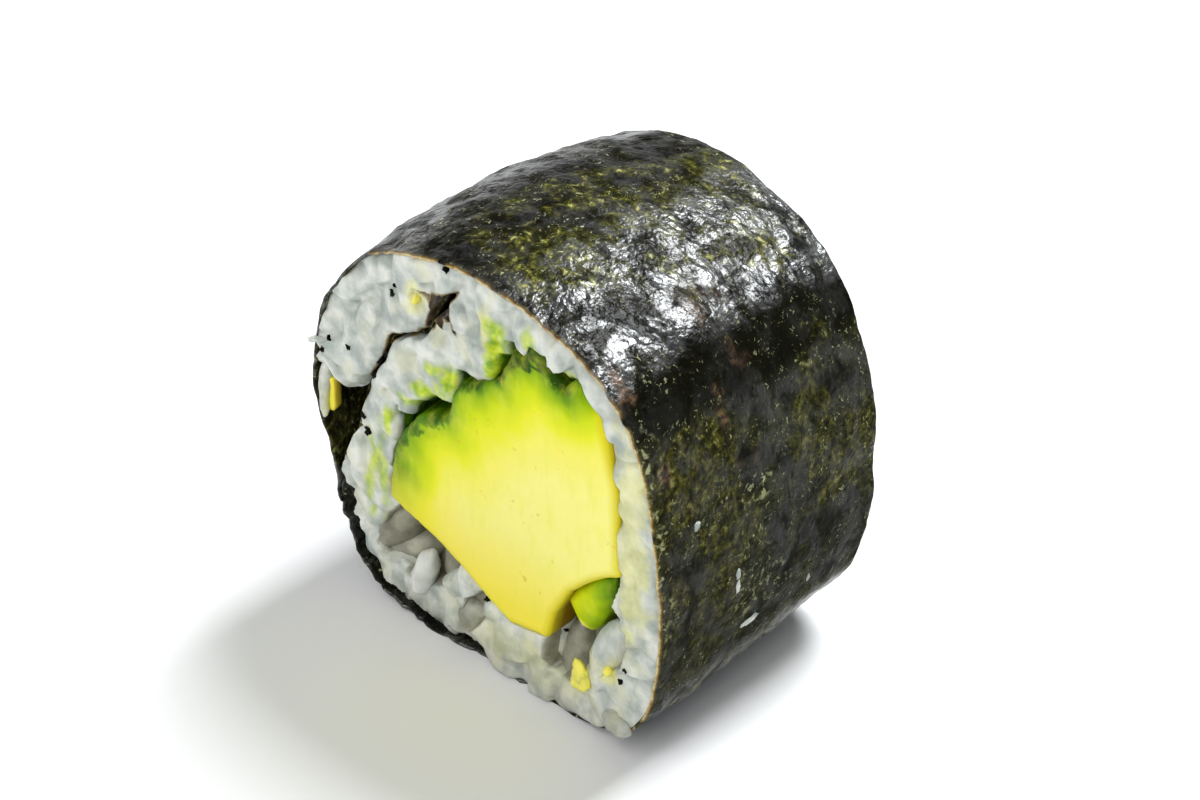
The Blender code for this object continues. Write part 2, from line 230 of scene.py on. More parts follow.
# The flap is drawn on here until it lies against the sheet's left side
FLAP_END = ((-14.45, 6.3), (-14.85, 8.1))
# What is caught behind the flap: a strip of avocado and the rice beside it
FLAP_STRIP = ((-15.6, 15.9), (-14.95, 15.8), (-14.95, 13.6), (-15.2, 13.25), (-15.55, 13.3))
FLAP_STRIP_DEPTHS = (0.35, 1.1)
FLAP_GRAIN = ((-15.88, 0.5, 15.2), (0.02, 0.1, 1.0), 0.5, 2.7, 0.25)

# The rice: how far it lies inside the sheet's outer side, deep in the roll, and off the tucked sheet
RICE_INSIDE = 0.5
RICE_GAP = 0.25
LOBE_FOOT = ((-11.5, 17.3), (-12.5, 16.1), (-13.8, 15.5), (-15.0, 15.6), (-15.9, 16.4))
RICE_STEP = 0.14
WALL_DEPTHS = (0.3, 0.7, 1.2, 1.8, 2.4, 4.0, 7.0, 11.0, 15.0, 19.0)
GRAIN_WIDTH = 2.5
GRAIN_LENGTH = 5.8
GRAIN_SPACING = 1.45
GRAIN_TRIES = 2600
CORE_DEPTH = 0.55
SOFTNESS = 0.11
AVOCADO_STEP = 0.2
EDGE_STEP = 0.25
FINE_EDGE_STEP = 0.12

# The camera, in the roll's own millimetres, and its lens
CAMERA_PLACE = (123.2, -121.6, 133.9)
LENS = 93.0
SENSOR_WIDTH = 36.0
# Lights, in metres: name, direction from the roll, width, height, radiance, colour
LIGHTS = (
    ("key", (0.03, 0.56, 0.83), 0.38, 0.52, 33.0, (0.95, 0.98, 1.0)),
    ("rim", (-0.82, 0.55, 0.13), 0.9, 0.28, 1.6, (1.0, 0.99, 0.97)),
    ("fill", (0.1, -0.7, 0.7), 1.2, 1.2, 2.3, (1.0, 0.99, 0.97)),
)
LIGHT_DISTANCE = 1.2
# Half the floor's width, in metres
FLOOR = 3.0


# Plane geometry


def smooth_line(points, pieces):
    """A Catmull-Rom curve through the points, which stops at both ends."""
    points = [Vector(p) for p in points]
    padded = [2 * points[0] - points[1], *points, 2 * points[-1] - points[-2]]
    line = [points[0]]
    for a, b, c, d in zip(padded, padded[1:], padded[2:], padded[3:]):
        for i in range(1, pieces + 1):
            t = i / pieces
            line.append(
                0.5 * (2 * b + (c - a) * t + (2 * a - 5 * b + 4 * c - d) * t * t
                       + (3 * b - a - 3 * c + d) * t ** 3)
            )
    return line


def resample(line, step):
    """Points along the line, with this step or step(point) between one and the next."""
    line = np.array([tuple(p) for p in line])
    lengths = np.concatenate([[0.0], np.cumsum(np.linalg.norm(np.diff(line, axis=0), axis=1))])
    places, here = [], 0.0
    while here < lengths[-1]:
        places.append(here)
        point = (np.interp(here, lengths, line[:, 0]), np.interp(here, lengths, line[:, 1]))
        here += step(point) if callable(step) else step
    places.append(lengths[-1])
    places = np.array(places)
    points = np.stack([np.interp(places, lengths, line[:, i]) for i in range(2)], axis=1)
    return places, points


def outward_normals(points, closed=False):
    """The side to the left of the way along the points, which is outwards on a clockwise path."""
    if closed:
        ways = np.roll(points, -1, axis=0) - np.roll(points, 1, axis=0)
    else:
        ways = np.gradient(points, axis=0)
    ways /= np.linalg.norm(ways, axis=1)[:, None]
    return np.stack([-ways[:, 1], ways[:, 0]], axis=1)


def is_inside(outline, points):
    """Which of the points lie inside the closed outline."""
    found = np.zeros(len(points), bool)
    for a, b in zip(outline, np.roll(outline, -1, axis=0)):
        if a[1] == b[1]:
            continue
        crosses = (a[1] > points[:, 1]) != (b[1] > points[:, 1])
        edge_x = (b[0] - a[0]) * (points[:, 1] - a[1]) / (b[1] - a[1]) + a[0]
        found ^= crosses & (points[:, 0] < edge_x)
    return found


def nearest_on(line, points, closed=True):
    """The distance from each point to the line, and the nearest place on it."""
    starts = line if closed else line[:-1]
    ends = np.roll(line, -1, axis=0) if closed else line[1:]
    best = np.full(len(points), np.inf)
    place = points.copy()
    for a, b in zip(starts, ends):
        side = b - a
        t = unit((points - a) @ side / max(side @ side, 1e-12))
        on = a + t[:, None] * side
        distance = np.linalg.norm(points - on, axis=1)
        closer = distance < best
        best[closer] = distance[closer]
        place[closer] = on[closer]
    return best, place


def away_from(line, points):
    """The distance from each point to an open line."""
    return nearest_on(np.array(line), points, closed=False)[0]


# Noise and places


def unit(values):
    """The values, held between 0 and 1."""
    return np.clip(values, 0.0, 1.0)


def rising(values, start, width):
    """From 0 at the start to 1 this much further on."""
    return unit((values - start) / width)


def falling(values, end, width):
    """From 1 down to 0 at the end, over this width before it."""
    return unit((end - values) / width)


def fading(distance, reach):
    """From 1 at no distance down to 0 at the reach."""
    return unit(1.0 - distance / reach)


def spread(plane, third=0.0):
    """Points of a plane with a third coordinate, for noise."""
    return np.column_stack([plane, np.full(len(plane), third)])


def upright(plane, y):
    """Points (x, z) of a cross-section with their Y: one for each, or one for all."""
    return np.column_stack([plane[:, 0], np.broadcast_to(y, len(plane)), plane[:, 1]])


def reach_from(plane, x, z, half_width=1.0, half_height=1.0):
    """How far each point lies from a spot, in half widths and half heights."""
    return np.hypot((plane[:, 0] - x) / half_width, (plane[:, 1] - z) / half_height)


def noise_over(points, size, seed=0.0):
    """Smooth noise from about -1 to 1 at each point, with features of about this size."""
    shift = Vector((7.3 * seed, 3.1 * seed + 0.37, 11.9 * seed))
    scale = 1.0 / size
    return np.array([noise.noise(Vector(p) * scale + shift) for p in points])


def puckers_over(points, size, seed=0.0):
    """Round swells with sharp creases between them, from 0 in the creases to about 1."""
    return np.minimum(1.0, 2.2 * np.abs(noise_over(points, size, seed)))


def stains(plane, places, breakup=0.0, full=1.8, slope=1.4):
    """How stained each point is by the places (x, z, half width, half height, strength)."""
    found = np.zeros(len(plane))
    for x, z, half_width, half_height, strength in places:
        reach = reach_from(plane, x, z, half_width, half_height)
        found = np.maximum(found, strength * unit(full - slope * reach + 0.75 * breakup))
    return np.minimum(found, 1.0)


def layered(points, *layers):
    """Noise in layers of (amount, size, seed)."""
    return sum(amount * noise_over(points, size, seed) for amount, size, seed in layers)


def squeezed(points):
    """Where points of the straight roll lie in the real one, as in the solids."""
    x, y, z = points.T
    swell = SWELL * (1.0 - (y / BACK) ** 2)
    share = (y - FRONT) / LENGTH
    return np.column_stack([
        x * (1.0 - BACK_NARROWING * share) + (x - SWELL_FROM) * swell,
        y + share * BACK_SLANT * (z - MIDDLE_HEIGHT - x),
        z * (1.0 + swell),
    ])


def nori_line(tuck):
    """The nori's outer side from the flap's end to the tucked end, as a fine line."""
    return [Vector((p.x, max(0.0, p.y))) for p in smooth_line(ROUND + tuck, 24)]


def frame_shift():
    """From the roll's own coordinates to the frame's, found from the sheet's solid."""
    line = np.array([tuple(p) for p in nori_line(TUCK)])
    corners = np.concatenate([squeezed(upright(line, y)) for y in np.linspace(FRONT, BACK, 23)])
    low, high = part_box("nori_sheet")
    middle = (np.array(low) + np.array(high)) / (2 * MM)
    shift = middle - (corners.min(axis=0) + corners.max(axis=0)) / 2
    shift[2] = low.z / MM
    return shift


SHIFT = frame_shift()
ROUND_LENGTH = resample(smooth_line((*FLAP_END, *ROUND), 24), 1.0)[0][-1]


def place(points):
    """Straight-roll points in millimetres as frame points in metres."""
    return (squeezed(points) + SHIFT) * MM


# Meshes


def coordinates(mesh):
    flat = np.empty(3 * len(mesh.vertices))
    mesh.vertices.foreach_get("co", flat)
    return flat.reshape(-1, 3)


def turn_outwards(mesh):
    bm = bmesh.new()
    bm.from_mesh(mesh)
    bmesh.ops.recalc_face_normals(bm, faces=bm.faces)
    bm.to_mesh(mesh)
    bm.free()


def add_object(name, data):
    obj = bpy.data.objects.new(name, data)
    bpy.context.scene.collection.objects.link(obj)
    return obj


def mesh_object(name, points, faces):
    mesh = bpy.data.meshes.new(name)
    mesh.from_pydata([tuple(p) for p in points], [], faces)
    mesh.update()
    return add_object(name, mesh)


def apply_modifiers(obj):
    bpy.context.view_layer.update()
    evaluated = obj.evaluated_get(bpy.context.evaluated_depsgraph_get())
    made = bpy.data.meshes.new_from_object(evaluated)
    obj.modifiers.clear()
    obj.data = made


def set_masks(mesh, **masks):
    """Gives the points these attributes: a value for each point, or one for all."""
    for name, values in masks.items():
        mask = mesh.attributes.get(name) or mesh.attributes.new(name, "FLOAT", "POINT")
        mask.data.foreach_set("value", np.array(np.broadcast_to(values, len(mesh.vertices)), np.float32))


def set_vectors(mesh, name, values):
    made = mesh.attributes.new(name, "FLOAT_VECTOR", "POINT")
    made.data.foreach_set("vector", np.asarray(values, np.float32).ravel())


def finish_piece(obj, slot, material, *nodes):
    """Takes a piece from the roll's own millimetres to the frame, gives it the material, and attaches it to
    the root body, hiding the given parts.
    """
    mesh = obj.data
    mesh.vertices.foreach_set("co", place(coordinates(mesh)).ravel())
    mesh.update()
    mesh.materials.clear()
    mesh.materials.append(material)
    mesh.shade_smooth()
    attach(obj, "root")
    if nodes:
        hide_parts(*nodes)


# Materials


def new_material(name):
    material = bpy.data.materials.new(name)
    material.use_nodes = True
    tree = material.node_tree
    return material, tree, tree.nodes["Principled BSDF"]


def attribute(tree, name, output="Fac"):
    return add_node(tree, "ShaderNodeAttribute", {"attribute_name": name}).outputs[output]


def connect(tree, value, socket):
    """Gives the socket a value, or a link from a socket, a node or an attribute's name."""
    if isinstance(value, str) and socket.type != "STRING":
        value = attribute(tree, value)
    if isinstance(value, bpy.types.Node):
        value = value.outputs[0]
    if isinstance(value, bpy.types.NodeSocket):
        tree.links.new(value, socket)
    else:
        socket.default_value = value


def fill(tree, node, **inputs):
    """Connects the node's inputs by name, with _ for a space."""
    for key, value in inputs.items():
        connect(tree, value, node.inputs[key.replace("_", " ")])


def add_node(tree, kind, settings=None, **inputs):
    made = tree.nodes.new(kind)
    for key, value in (settings or {}).items():
        setattr(made, key, value)
    fill(tree, made, **inputs)
    return made


def noise_node(tree, size, detail=3.0, roughness=0.55, distortion=0.0, vector=None):
    """Noise whose features are about this many millimetres across."""
    if vector is None:
        vector = add_node(tree, "ShaderNodeTexCoord").outputs["Object"]
    return add_node(
        tree, "ShaderNodeTexNoise", Vector=vector, Scale=1.0 / (size * MM), Detail=detail,
        Roughness=roughness, Distortion=distortion,
    )


def ramp(tree, value, *stops):
    """A colour ramp from stops of (position, colour)."""
    made = add_node(tree, "ShaderNodeValToRGB", Fac=value)
    elements = made.color_ramp.elements
    while len(elements) < len(stops):
        elements.new(0.5)
    for element, (position, colour) in zip(elements, stops):
        element.position = position
        element.color = (*colour, 1.0)
    return made


def mapped(tree, value, low, high, to_low=0.0, to_high=1.0):
    return add_node(
        tree, "ShaderNodeMapRange", {"clamp": True, "interpolation_type": "SMOOTHSTEP"},
        Value=value, From_Min=low, From_Max=high, To_Min=to_low, To_Max=to_high,
    )


def maths(tree, operation, *values, kind="ShaderNodeMath"):
    made = add_node(tree, kind, {"operation": operation})
    for socket, value in zip(made.inputs, values):
        connect(tree, value, socket)
    return made


def times(tree, first, second):
    return maths(tree, "MULTIPLY", first, second)


def rest(tree, value):
    """What the value leaves of 1."""
    return maths(tree, "SUBTRACT", 1.0, value)


def mixed(tree, share, first, second):
    """Two colours mixed by share."""
    made = add_node(tree, "ShaderNodeMix", {"data_type": "RGBA"})
    for index, value in ((0, share), (6, first), (7, second)):
        connect(tree, (*value, 1.0) if isinstance(value, tuple) else value, made.inputs[index])
    return made.outputs[2]


def painted(tree, colour, *coats):
    """The colour with coats of (where, colour) laid over it in turn."""
    for share, coat in coats:
        colour = mixed(tree, share, colour, coat)
    return colour


def billow(tree, size, vector):
    """Noise folded at its middle: round swells with sharp creases, for bump."""
    made = noise_node(tree, size, 1.0, 0.5, 0.3, vector)
    return maths(tree, "ABSOLUTE", maths(tree, "SUBTRACT", made, 0.5))


def node_group(name, kind, inputs, output):
    """An empty group with these sockets, each given as (name, kind, value)."""
    tree = bpy.data.node_groups.new(name, kind)
    for label, socket_kind, value in inputs:
        socket = tree.interface.new_socket(label, in_out="INPUT", socket_type=socket_kind)
        if value is not None:
            socket.default_value = value
    tree.interface.new_socket(output[0], in_out="OUTPUT", socket_type=output[1])
    return tree, tree.nodes.new("NodeGroupInput").outputs, tree.nodes.new("NodeGroupOutput").inputs[0]


NOISE_INPUTS = (
    ("Place", "NodeSocketVector", None),
    ("Size", "NodeSocketFloat", 0.002),
    ("Detail", "NodeSocketFloat", 3.0),
    ("Roughness", "NodeSocketFloat", 0.55),
)


def group_noise(tree, given):
    """Noise from the inputs that the groups share."""
    return add_node(
        tree, "ShaderNodeTexNoise", Vector=given["Place"], Scale=maths(tree, "DIVIDE", 1.0, given["Size"]),
        Detail=given["Detail"], Roughness=given["Roughness"],
    )


def mottle_group():
    """Spots of another colour, as food shows where it is riper, wetter or bruised."""
    tree, given, result = node_group("mottle", "ShaderNodeTree", (
        *NOISE_INPUTS,
        ("Color", "NodeSocketColor", (0.8, 0.8, 0.8, 1.0)),
        ("Spots", "NodeSocketColor", (0.5, 0.5, 0.5, 1.0)),
        ("From", "NodeSocketFloat", 0.5),
        ("To", "NodeSocketFloat", 0.7),
        ("Amount", "NodeSocketFloat", 0.5),
    ), ("Color", "NodeSocketColor"))
    share = mapped(tree, group_noise(tree, given), given["From"], given["To"], 0.0, given["Amount"])
    connect(tree, mixed(tree, share, given["Color"], given["Spots"]), result)
    return tree


def dents_group():
    """A soft uneven surface."""
    tree, given, result = node_group("dents", "ShaderNodeTree", (
        *NOISE_INPUTS, ("Depth", "NodeSocketFloat", 0.0001),
    ), ("Normal", "NodeSocketVector"))
    height = group_noise(tree, given)
    made = add_node(tree, "ShaderNodeBump", Height=height, Distance=given["Depth"], Strength=1.0)
    connect(tree, made, result)
    return tree


def grouped(tree, group, spot, size, detail, roughness, **inputs):
    """One of the groups, with features of about this many millimetres."""
    return add_node(
        tree, "ShaderNodeGroup", {"node_tree": group}, Place=spot, Size=size * MM, Detail=detail,
        Roughness=roughness, **inputs,
    )


def nori_material():
    """Reads the sheet attribute, the place on the sheet as (way round, way along, 0)."""
    material, tree, shader = new_material("nori")
    spot = attribute(tree, "sheet", "Vector")
    blotch = noise_node(tree, 3.0, 4.0, 0.6, 0.5, spot)
    fleck = noise_node(tree, 0.6, 3.0, 0.6, 0.5, spot)
    grain = noise_node(tree, 0.36, 3.0, 0.6, 1.2, spot)
    dark = ramp(tree, blotch, (0.35, (0.002, 0.002, 0.001)), (0.65, (0.009, 0.008, 0.004)))
    greenish = ramp(tree, blotch, (0.40, (0.005, 0.006, 0.003)), (0.60, (0.036, 0.037, 0.021)))
    flecks = ramp(
        tree, fleck,
        (0.42, (0.010, 0.010, 0.002)), (0.53, (0.036, 0.036, 0.006)), (0.62, (0.11, 0.105, 0.018)),
        (0.70, (0.40, 0.39, 0.14)),
    )
    patches = ramp(
        tree, fleck,
        (0.38, (0.010, 0.011, 0.003)), (0.50, (0.038, 0.037, 0.006)), (0.60, (0.074, 0.069, 0.010)),
        (0.72, (0.17, 0.165, 0.05)),
    )
    pores = times(tree, "side", mapped(tree, grain, 0.38, 0.52, 0.8, 0.0))
    copper = ramp(tree, fleck, (0.42, (0.020, 0.014, 0.009)), (0.64, (0.17, 0.095, 0.05)))
    # Painted glints: small pale spots in clusters, fewer where shade is painted; the light specks take the
    # same pale colour
    glint_clusters = mapped(tree, blotch, 0.42, 0.56, 0.0, 0.9)
    glint_clusters = times(tree, glint_clusters, rest(tree, times(tree, "shade", 0.6)))
    painted_glints = times(tree, mapped(tree, grain, 0.615, 0.69), glint_clusters)
    specks = times(tree, mapped(tree, fleck, 0.54, 0.66), "specks")
    edge = ramp(tree, fleck, (0.35, (0.50, 0.28, 0.06)), (0.58, (0.95, 0.72, 0.32)))
    colour = painted(
        tree, mixed(tree, "side", dark, greenish),
        ("olive", mixed(tree, "side", flecks, patches)),
        # Dark pores on the side, and painted shade where the shade mask lies
        (maths(tree, "MAXIMUM", pores, "shade"), (0.004, 0.004, 0.002)),
        ("copper", copper),
        (maths(tree, "MAXIMUM", painted_glints, specks), (0.36, 0.38, 0.20)),
        ("cut", edge),
    )
    roughness = maths(tree, "ADD", mapped(tree, blotch, 0.35, 0.65, 0.34, 0.46), times(tree, "dull", 0.25))
    # The sheen comes in patches with pits in them, more even on the side
    sheen = mapped(tree, noise_node(tree, 2.4, 4.0, 0.6, 0.6, spot), 0.42, 0.58, 0.16, 1.5)
    pits = mapped(tree, noise_node(tree, 0.9, 4.0, 0.6, 0.3, spot), 0.36, 0.46, 0.2, 1.0)
    uneven = times(tree, sheen, pits)
    even = maths(tree, "ADD", 0.05, times(tree, uneven, 0.5))
    off_side = rest(tree, "side")
    varied = maths(tree, "ADD", times(tree, uneven, off_side), times(tree, even, "side"))
    level = times(tree, varied, rest(tree, times(tree, "dull", 0.93)))
    fine = times(tree, noise_node(tree, 0.36, 2.0, 0.5, 0.2, spot), 0.5)
    crinkled = add_node(
        tree, "ShaderNodeBump", Height=maths(tree, "ADD", billow(tree, 1.0, spot), fine),
        Distance=0.25 * MM, Strength=rest(tree, "smooth"),
    )
    shader.inputs["Specular IOR Level"].default_value = 0.4
    fill(
        tree, shader, Base_Color=colour, Roughness=roughness, IOR=1.40, Specular_IOR_Level=level,
        Coat_Weight=times(tree, level, times(tree, off_side, 0.3)), Coat_Roughness=0.17,
        Normal=crinkled, Coat_Normal=crinkled,
    )
    return material


def rice_material(mottle, dents):
    material, tree, shader = new_material("rice")
    spot = add_node(tree, "ShaderNodeTexCoord").outputs["Object"]
    soft = noise_node(tree, 1.7)
    stain = noise_node(tree, 0.8, 2.0)
    white = ramp(
        tree, soft, (0.35, (0.33, 0.37, 0.34)), (0.5, (0.51, 0.54, 0.49)), (0.65, (0.69, 0.70, 0.64))
    )
    white = grouped(
        tree, mottle, spot, 2.9, 2.0, 0.5,
        Color=white, Spots=(0.64, 0.63, 0.43, 1.0), From=0.52, To=0.70, Amount=0.55,
    )
    green = ramp(
        tree, stain, (0.30, (0.18, 0.34, 0.002)), (0.5, (0.42, 0.56, 0.006)), (0.70, (0.66, 0.70, 0.04))
    )
    torn = ramp(tree, stain, (0.42, (0.016, 0.010, 0.004)), (0.62, (0.12, 0.075, 0.027)))
    torn = mixed(tree, mapped(tree, "torn", 0.5, 0.9), (0.26, 0.19, 0.08), torn)
    # Painted light where deep is below 0; painted shade in the grey of deep, the dark of torn, and partly
    # in the dark green of gap
    colour = painted(
        tree, white,
        (times(tree, "deep", -1.0), (0.80, 0.80, 0.74)),
        ("yellow", (0.80, 0.76, 0.15)),
        ("green", green),
        ("deep", ramp(tree, soft, (0.35, (0.17, 0.162, 0.115)), (0.65, (0.36, 0.35, 0.265)))),
        ("gap", ramp(tree, stain, (0.40, (0.015, 0.06, 0.002)), (0.62, (0.12, 0.27, 0.003)))),
        (mapped(tree, "torn", 0.0, 0.45), torn),
    )
    fill(
        tree, shader, Base_Color=colour, Roughness=0.38, Subsurface_Weight=0.5,
        Subsurface_Radius=(1.0, 1.0, 0.9), Subsurface_Scale=0.6 * MM,
        Normal=grouped(tree, dents, spot, 0.6, 2.0, 0.5, Depth=0.07 * MM),
    )
    return material


def avocado_material(mottle, dents):
    material, tree, shader = new_material("avocado")
    spot = add_node(tree, "ShaderNodeTexCoord").outputs["Object"]
    wobble = mapped(tree, noise_node(tree, 3.2, 2.0, 0.5), 0.3, 0.7, -0.04, 0.04)
    flesh = ramp(
        tree, maths(tree, "ADD", "skin", wobble),
        (0.0, (0.020, 0.065, 0.0)), (0.05, (0.09, 0.22, 0.0)), (0.12, (0.30, 0.46, 0.0)),
        (0.22, (0.58, 0.67, 0.0)), (0.34, (0.76, 0.76, 0.02)), (0.50, (0.86, 0.80, 0.14)),
        (0.75, (0.87, 0.82, 0.24)),
    )
    colour = mixed(tree, "ripe", flesh, (0.88, 0.74, 0.07))
    fibres = maths(tree, "MULTIPLY", spot, (1.0, 1.0, 0.3), kind="ShaderNodeVectorMath")
    for where, spots, size, detail, low, high, amount in (
        (fibres, (0.72, 0.74, 0.05, 1.0), 0.9, 3.0, 0.48, 0.70, 0.22),
        (spot, (0.80, 0.76, 0.08, 1.0), 2.0, 4.0, 0.50, 0.72, 0.2),
        (spot, (0.60, 0.44, 0.03, 1.0), 1.1, 3.0, 0.66, 0.74, 0.55),
    ):
        colour = grouped(
            tree, mottle, where, size, detail, 0.6,
            Color=colour, Spots=spots, From=low, To=high, Amount=amount,
        )
    # wall: a brown that is painted shade on the wedge's side walls inside the roll; the flap strip also
    # takes it towards its right edge
    colour = painted(tree, colour, ("rim", (0.68, 0.58, 0.012)), ("wall", (0.26, 0.15, 0.004)))
    fill(
        tree, shader, Base_Color=colour, Roughness=0.45, IOR=1.35, Specular_IOR_Level=0.16,
        Subsurface_Weight=0.35, Subsurface_Radius=(1.0, 0.8, 0.1), Subsurface_Scale=0.6 * MM,
        Normal=grouped(tree, dents, spot, 0.8, 3.0, 0.6, Depth=0.06 * MM),
    )
    return material


def floor_material():
    material, tree, shader = new_material("floor")
    fill(tree, shader, Base_Color=(0.80, 0.80, 0.80, 1.0), Roughness=0.6)
    return material


# The nori


def sheet_step(point):
    x, z = point
    return SEEN_STEP if z > 3.0 and (x > -14.0 or z > 20.0) else HIDDEN_STEP


def sheet_line(step=LINE_STEP):
    """The sheet's outer side from the flap's end to the tucked end: way round, points and normals."""
    way, line = resample([*map(Vector, FLAP_END), *nori_line(CREASE)], step)
    return way, line, outward_normals(line)


def side_share(way, normals):
    """From 0 to 1 on the roll's right side, where the sheet lies smoother."""
    return rising(normals[:, 0], 0.70, 0.2) * (way < ROUND_LENGTH)


def corner_share(normals):
    """From 0 to 1 at the roll's two right corners, where it narrows towards the back."""
    return unit(2.6 * normals[:, 0] * np.abs(normals[:, 1]))


def crinkles(way, y, normals):
    """How far the sheet stands out at each place on it."""
    flat = spread(np.column_stack([way, y]))
    shifts = np.column_stack([noise_over(flat, 2.5, 6.0), noise_over(flat, 2.5, 7.0), flat[:, 2]])
    drawn = (flat + 0.5 * shifts) * DRAWN
    height = 0.15 * (puckers_over(drawn, 2.0, 3.0) - 0.35) + 0.08 * (puckers_over(drawn, 1.0, 4.0) - 0.35)
    height *= 1.0 - 0.45 * side_share(way, normals)
    height += layered(flat, (0.20, 7.0, 1.0), (0.12, 3.0, 2.0))
    height -= NARROWING * corner_share(normals) * ((y - FRONT) / LENGTH) ** 1.5 * (way < ROUND_LENGTH)
    return height * np.where(way > ROUND_LENGTH, 0.35, 1.0)


def sheet_point(way, y):
    """A point on the sheet's outer face and the way out of it."""
    ways, line, normals = sheet_line()
    point, normal = (np.array([np.interp(way, ways, row) for row in rows.T]) for rows in (line, normals))
    point += normal * crinkles(np.array([way]), np.array([y]), normal[None])[0]
    return Vector((point[0], y, point[1])), Vector((normal[0], 0.0, normal[1]))


def ragged_ends(way, line):
    """How far in from the roll's ends the sheet's front and back rims lie."""
    ends = spread(np.column_stack([way, np.zeros(len(way))]))
    torn = 0.10 + 0.25 * falling(line[:, 0], 2.0, 4.0) * falling(line[:, 1], 9.0, 3.0)
    front = layered(ends, (0.14, 3.0, 8.0), (torn, 0.7, 9.0))
    beneath = rising(line[:, 0], -4.0, 3.0) * falling(line[:, 1], 2.6, 1.2)
    front += beneath * (0.55 + 0.5 * noise_over(ends, 1.2, 12.0)) + np.where(way > ROUND_LENGTH, 0.7, 0.0)
    return front, layered(ends, (0.16, 3.0, 10.0), (0.06, 0.6, 11.0))


def sheet_faces(rows, count):
    """The outer and inner sides of a sheet of rows of points, and its four edges."""
    total = rows * count
    faces = []
    for i in range(rows - 1):
        for j in range(count - 1):
            a = i * count + j
            faces.append((a, a + 1, a + count + 1, a + count))
            faces.append((total + a + count, total + a + count + 1, total + a + 1, total + a))
    for j in range(count - 1):
        last = (rows - 1) * count + j
        faces.append((j + 1, j, total + j, total + j + 1))
        faces.append((last, last + 1, total + last + 1, total + last))
    for i in range(rows - 1):
        a, b = i * count, i * count + count - 1
        faces.append((a, a + count, total + a + count, total + a))
        faces.append((b + count, b, total + b, total + b + count))
    return faces


def build_nori(material):
    way, line, normals = sheet_line(sheet_step)
    rows = round(LENGTH / SHEET_STEP_ALONG) + 1
    spots = np.column_stack([part.ravel() for part in np.meshgrid(way, np.linspace(FRONT, BACK, rows))])
    tucked = spots[:, 0] > ROUND_LENGTH
    x, z = np.tile(line, (rows, 1)).T
    normals = np.tile(normals, (rows, 1))
    nx, nz = normals.T
    side = side_share(spots[:, 0], normals)
    height = crinkles(*spots.T, normals)
    share = (spots[:, 1] - FRONT) / LENGTH
    front, back = ragged_ends(way, line)
    y = spots[:, 1] + np.tile(front, rows) * (1 - share) ** 8 + np.tile(back, rows) * share ** 8
    sides = [
        np.column_stack([x + nx * out, y, np.maximum(z + nz * out, floor)])
        for out, floor in ((height, 0.0), (height - SHEET, SHEET))
    ]
    obj = mesh_object("nori", np.concatenate(sides), sheet_faces(rows, len(way)))
    turn_outwards(obj.data)
    flat = spread(spots)
    set_vectors(obj.data, "sheet", np.tile(flat * MM, (2, 1)))
    # Where it is dull, smooth or given painted shade: low on the right side, and in a dark zone above that
    # side that reflects no lamp
    upper = nz > 0.0
    low = falling(z, 15.0, 9.0) * unit(1.0 + nz / 0.6)
    dark_zone = rising(nx, 0.62, 0.12) * falling(nx, 0.97, 0.08) * upper
    downwards = falling(nz, -0.2, 0.2) * (nx > 0.0)
    dull = np.maximum(side * (0.66 + 0.34 * low), 0.97 * dark_zone)
    dull = np.maximum(dull, 0.85 * unit(2.0 - np.abs(x + 1.5) / 3.0) * upper) * (1.0 - downwards)
    band = fading(np.abs(nx - 0.45), 0.25) * upper
    # Where the sheet is thin and green shows through; less of it on the shoulder, as painted shade over the
    # dark zone
    drawn = flat * DRAWN
    patches = noise_over(flat, 6.0, 21.0) + 0.6 * noise_over(drawn, 1.2, 22.0)
    near_face = fading(spots[:, 1] - FRONT, 3.0) * side
    left_top = falling(x, -1.0, 5.0) * rising(nz, 0.1, 0.3)
    crown = fading(np.abs(x - 2.0), 8.0) * upper
    shoulder_shade = rising(nx, 0.45, 0.2) * falling(nx, 0.95, 0.1) * upper
    olive = patches + 0.5 * near_face + 0.35 * crown - 0.5 * left_top + 0.35 * side - 0.6 * shoulder_shade - 0.12
    # Where it is coppery, and its pale cut edge
    copper = layered(drawn, (1.0, 1.8, 23.0), (0.5, 0.8, 24.0)) - 0.40
    copper = rising(copper, -0.1, 0.25) * rising(nx, 0.35, 0.15) * unit(nz / 0.3)
    seen = rising(x, -10.5, 1.5) * rising(z, 1.0, 1.5)
    cut = fading(spots[:, 1] - FRONT, 0.2) * (~tucked) * seen
    cut *= rising(noise_over(flat, 1.6, 25.0), -0.55, 0.2)
    # Painted light: a lighter olive on the inner side in the pocket, lifting its shade
    inner = {"olive": np.where((x < -11.0) & (z > 9.0), 0.8, 0.0), "cut": cut}
    outer = {
        # Painted shade: the side's lighter colour gives way in the dark zone
        "side": side * (1.0 - 0.9 * dark_zone) * (1.0 - downwards),
        "dull": np.where(tucked, 1.0, dull),
        # Painted shade: low on the right side and in the dark zone
        "shade": np.maximum(0.9 * side * low, 0.6 * dark_zone),
        "smooth": np.maximum(0.45 * side, 0.45 * band - 0.6 * (nx < 0.3)),
        "specks": stains(spots, SPECKS, full=2.0, slope=2.0),
        # Painted light: a lighter olive on the tucked sheet
        "olive": np.where(tucked, 0.8, unit(olive / 0.4)),
        "copper": copper * 0.75 * fading(y + 4.0, 6.0),
        "cut": cut * 0.2,
    }
    set_masks(obj.data, **{
        name: np.concatenate([values, inner.get(name, values)]) for name, values in outer.items()
    })
    finish_piece(obj, "nori", material, "nori_sheet")


# The rice


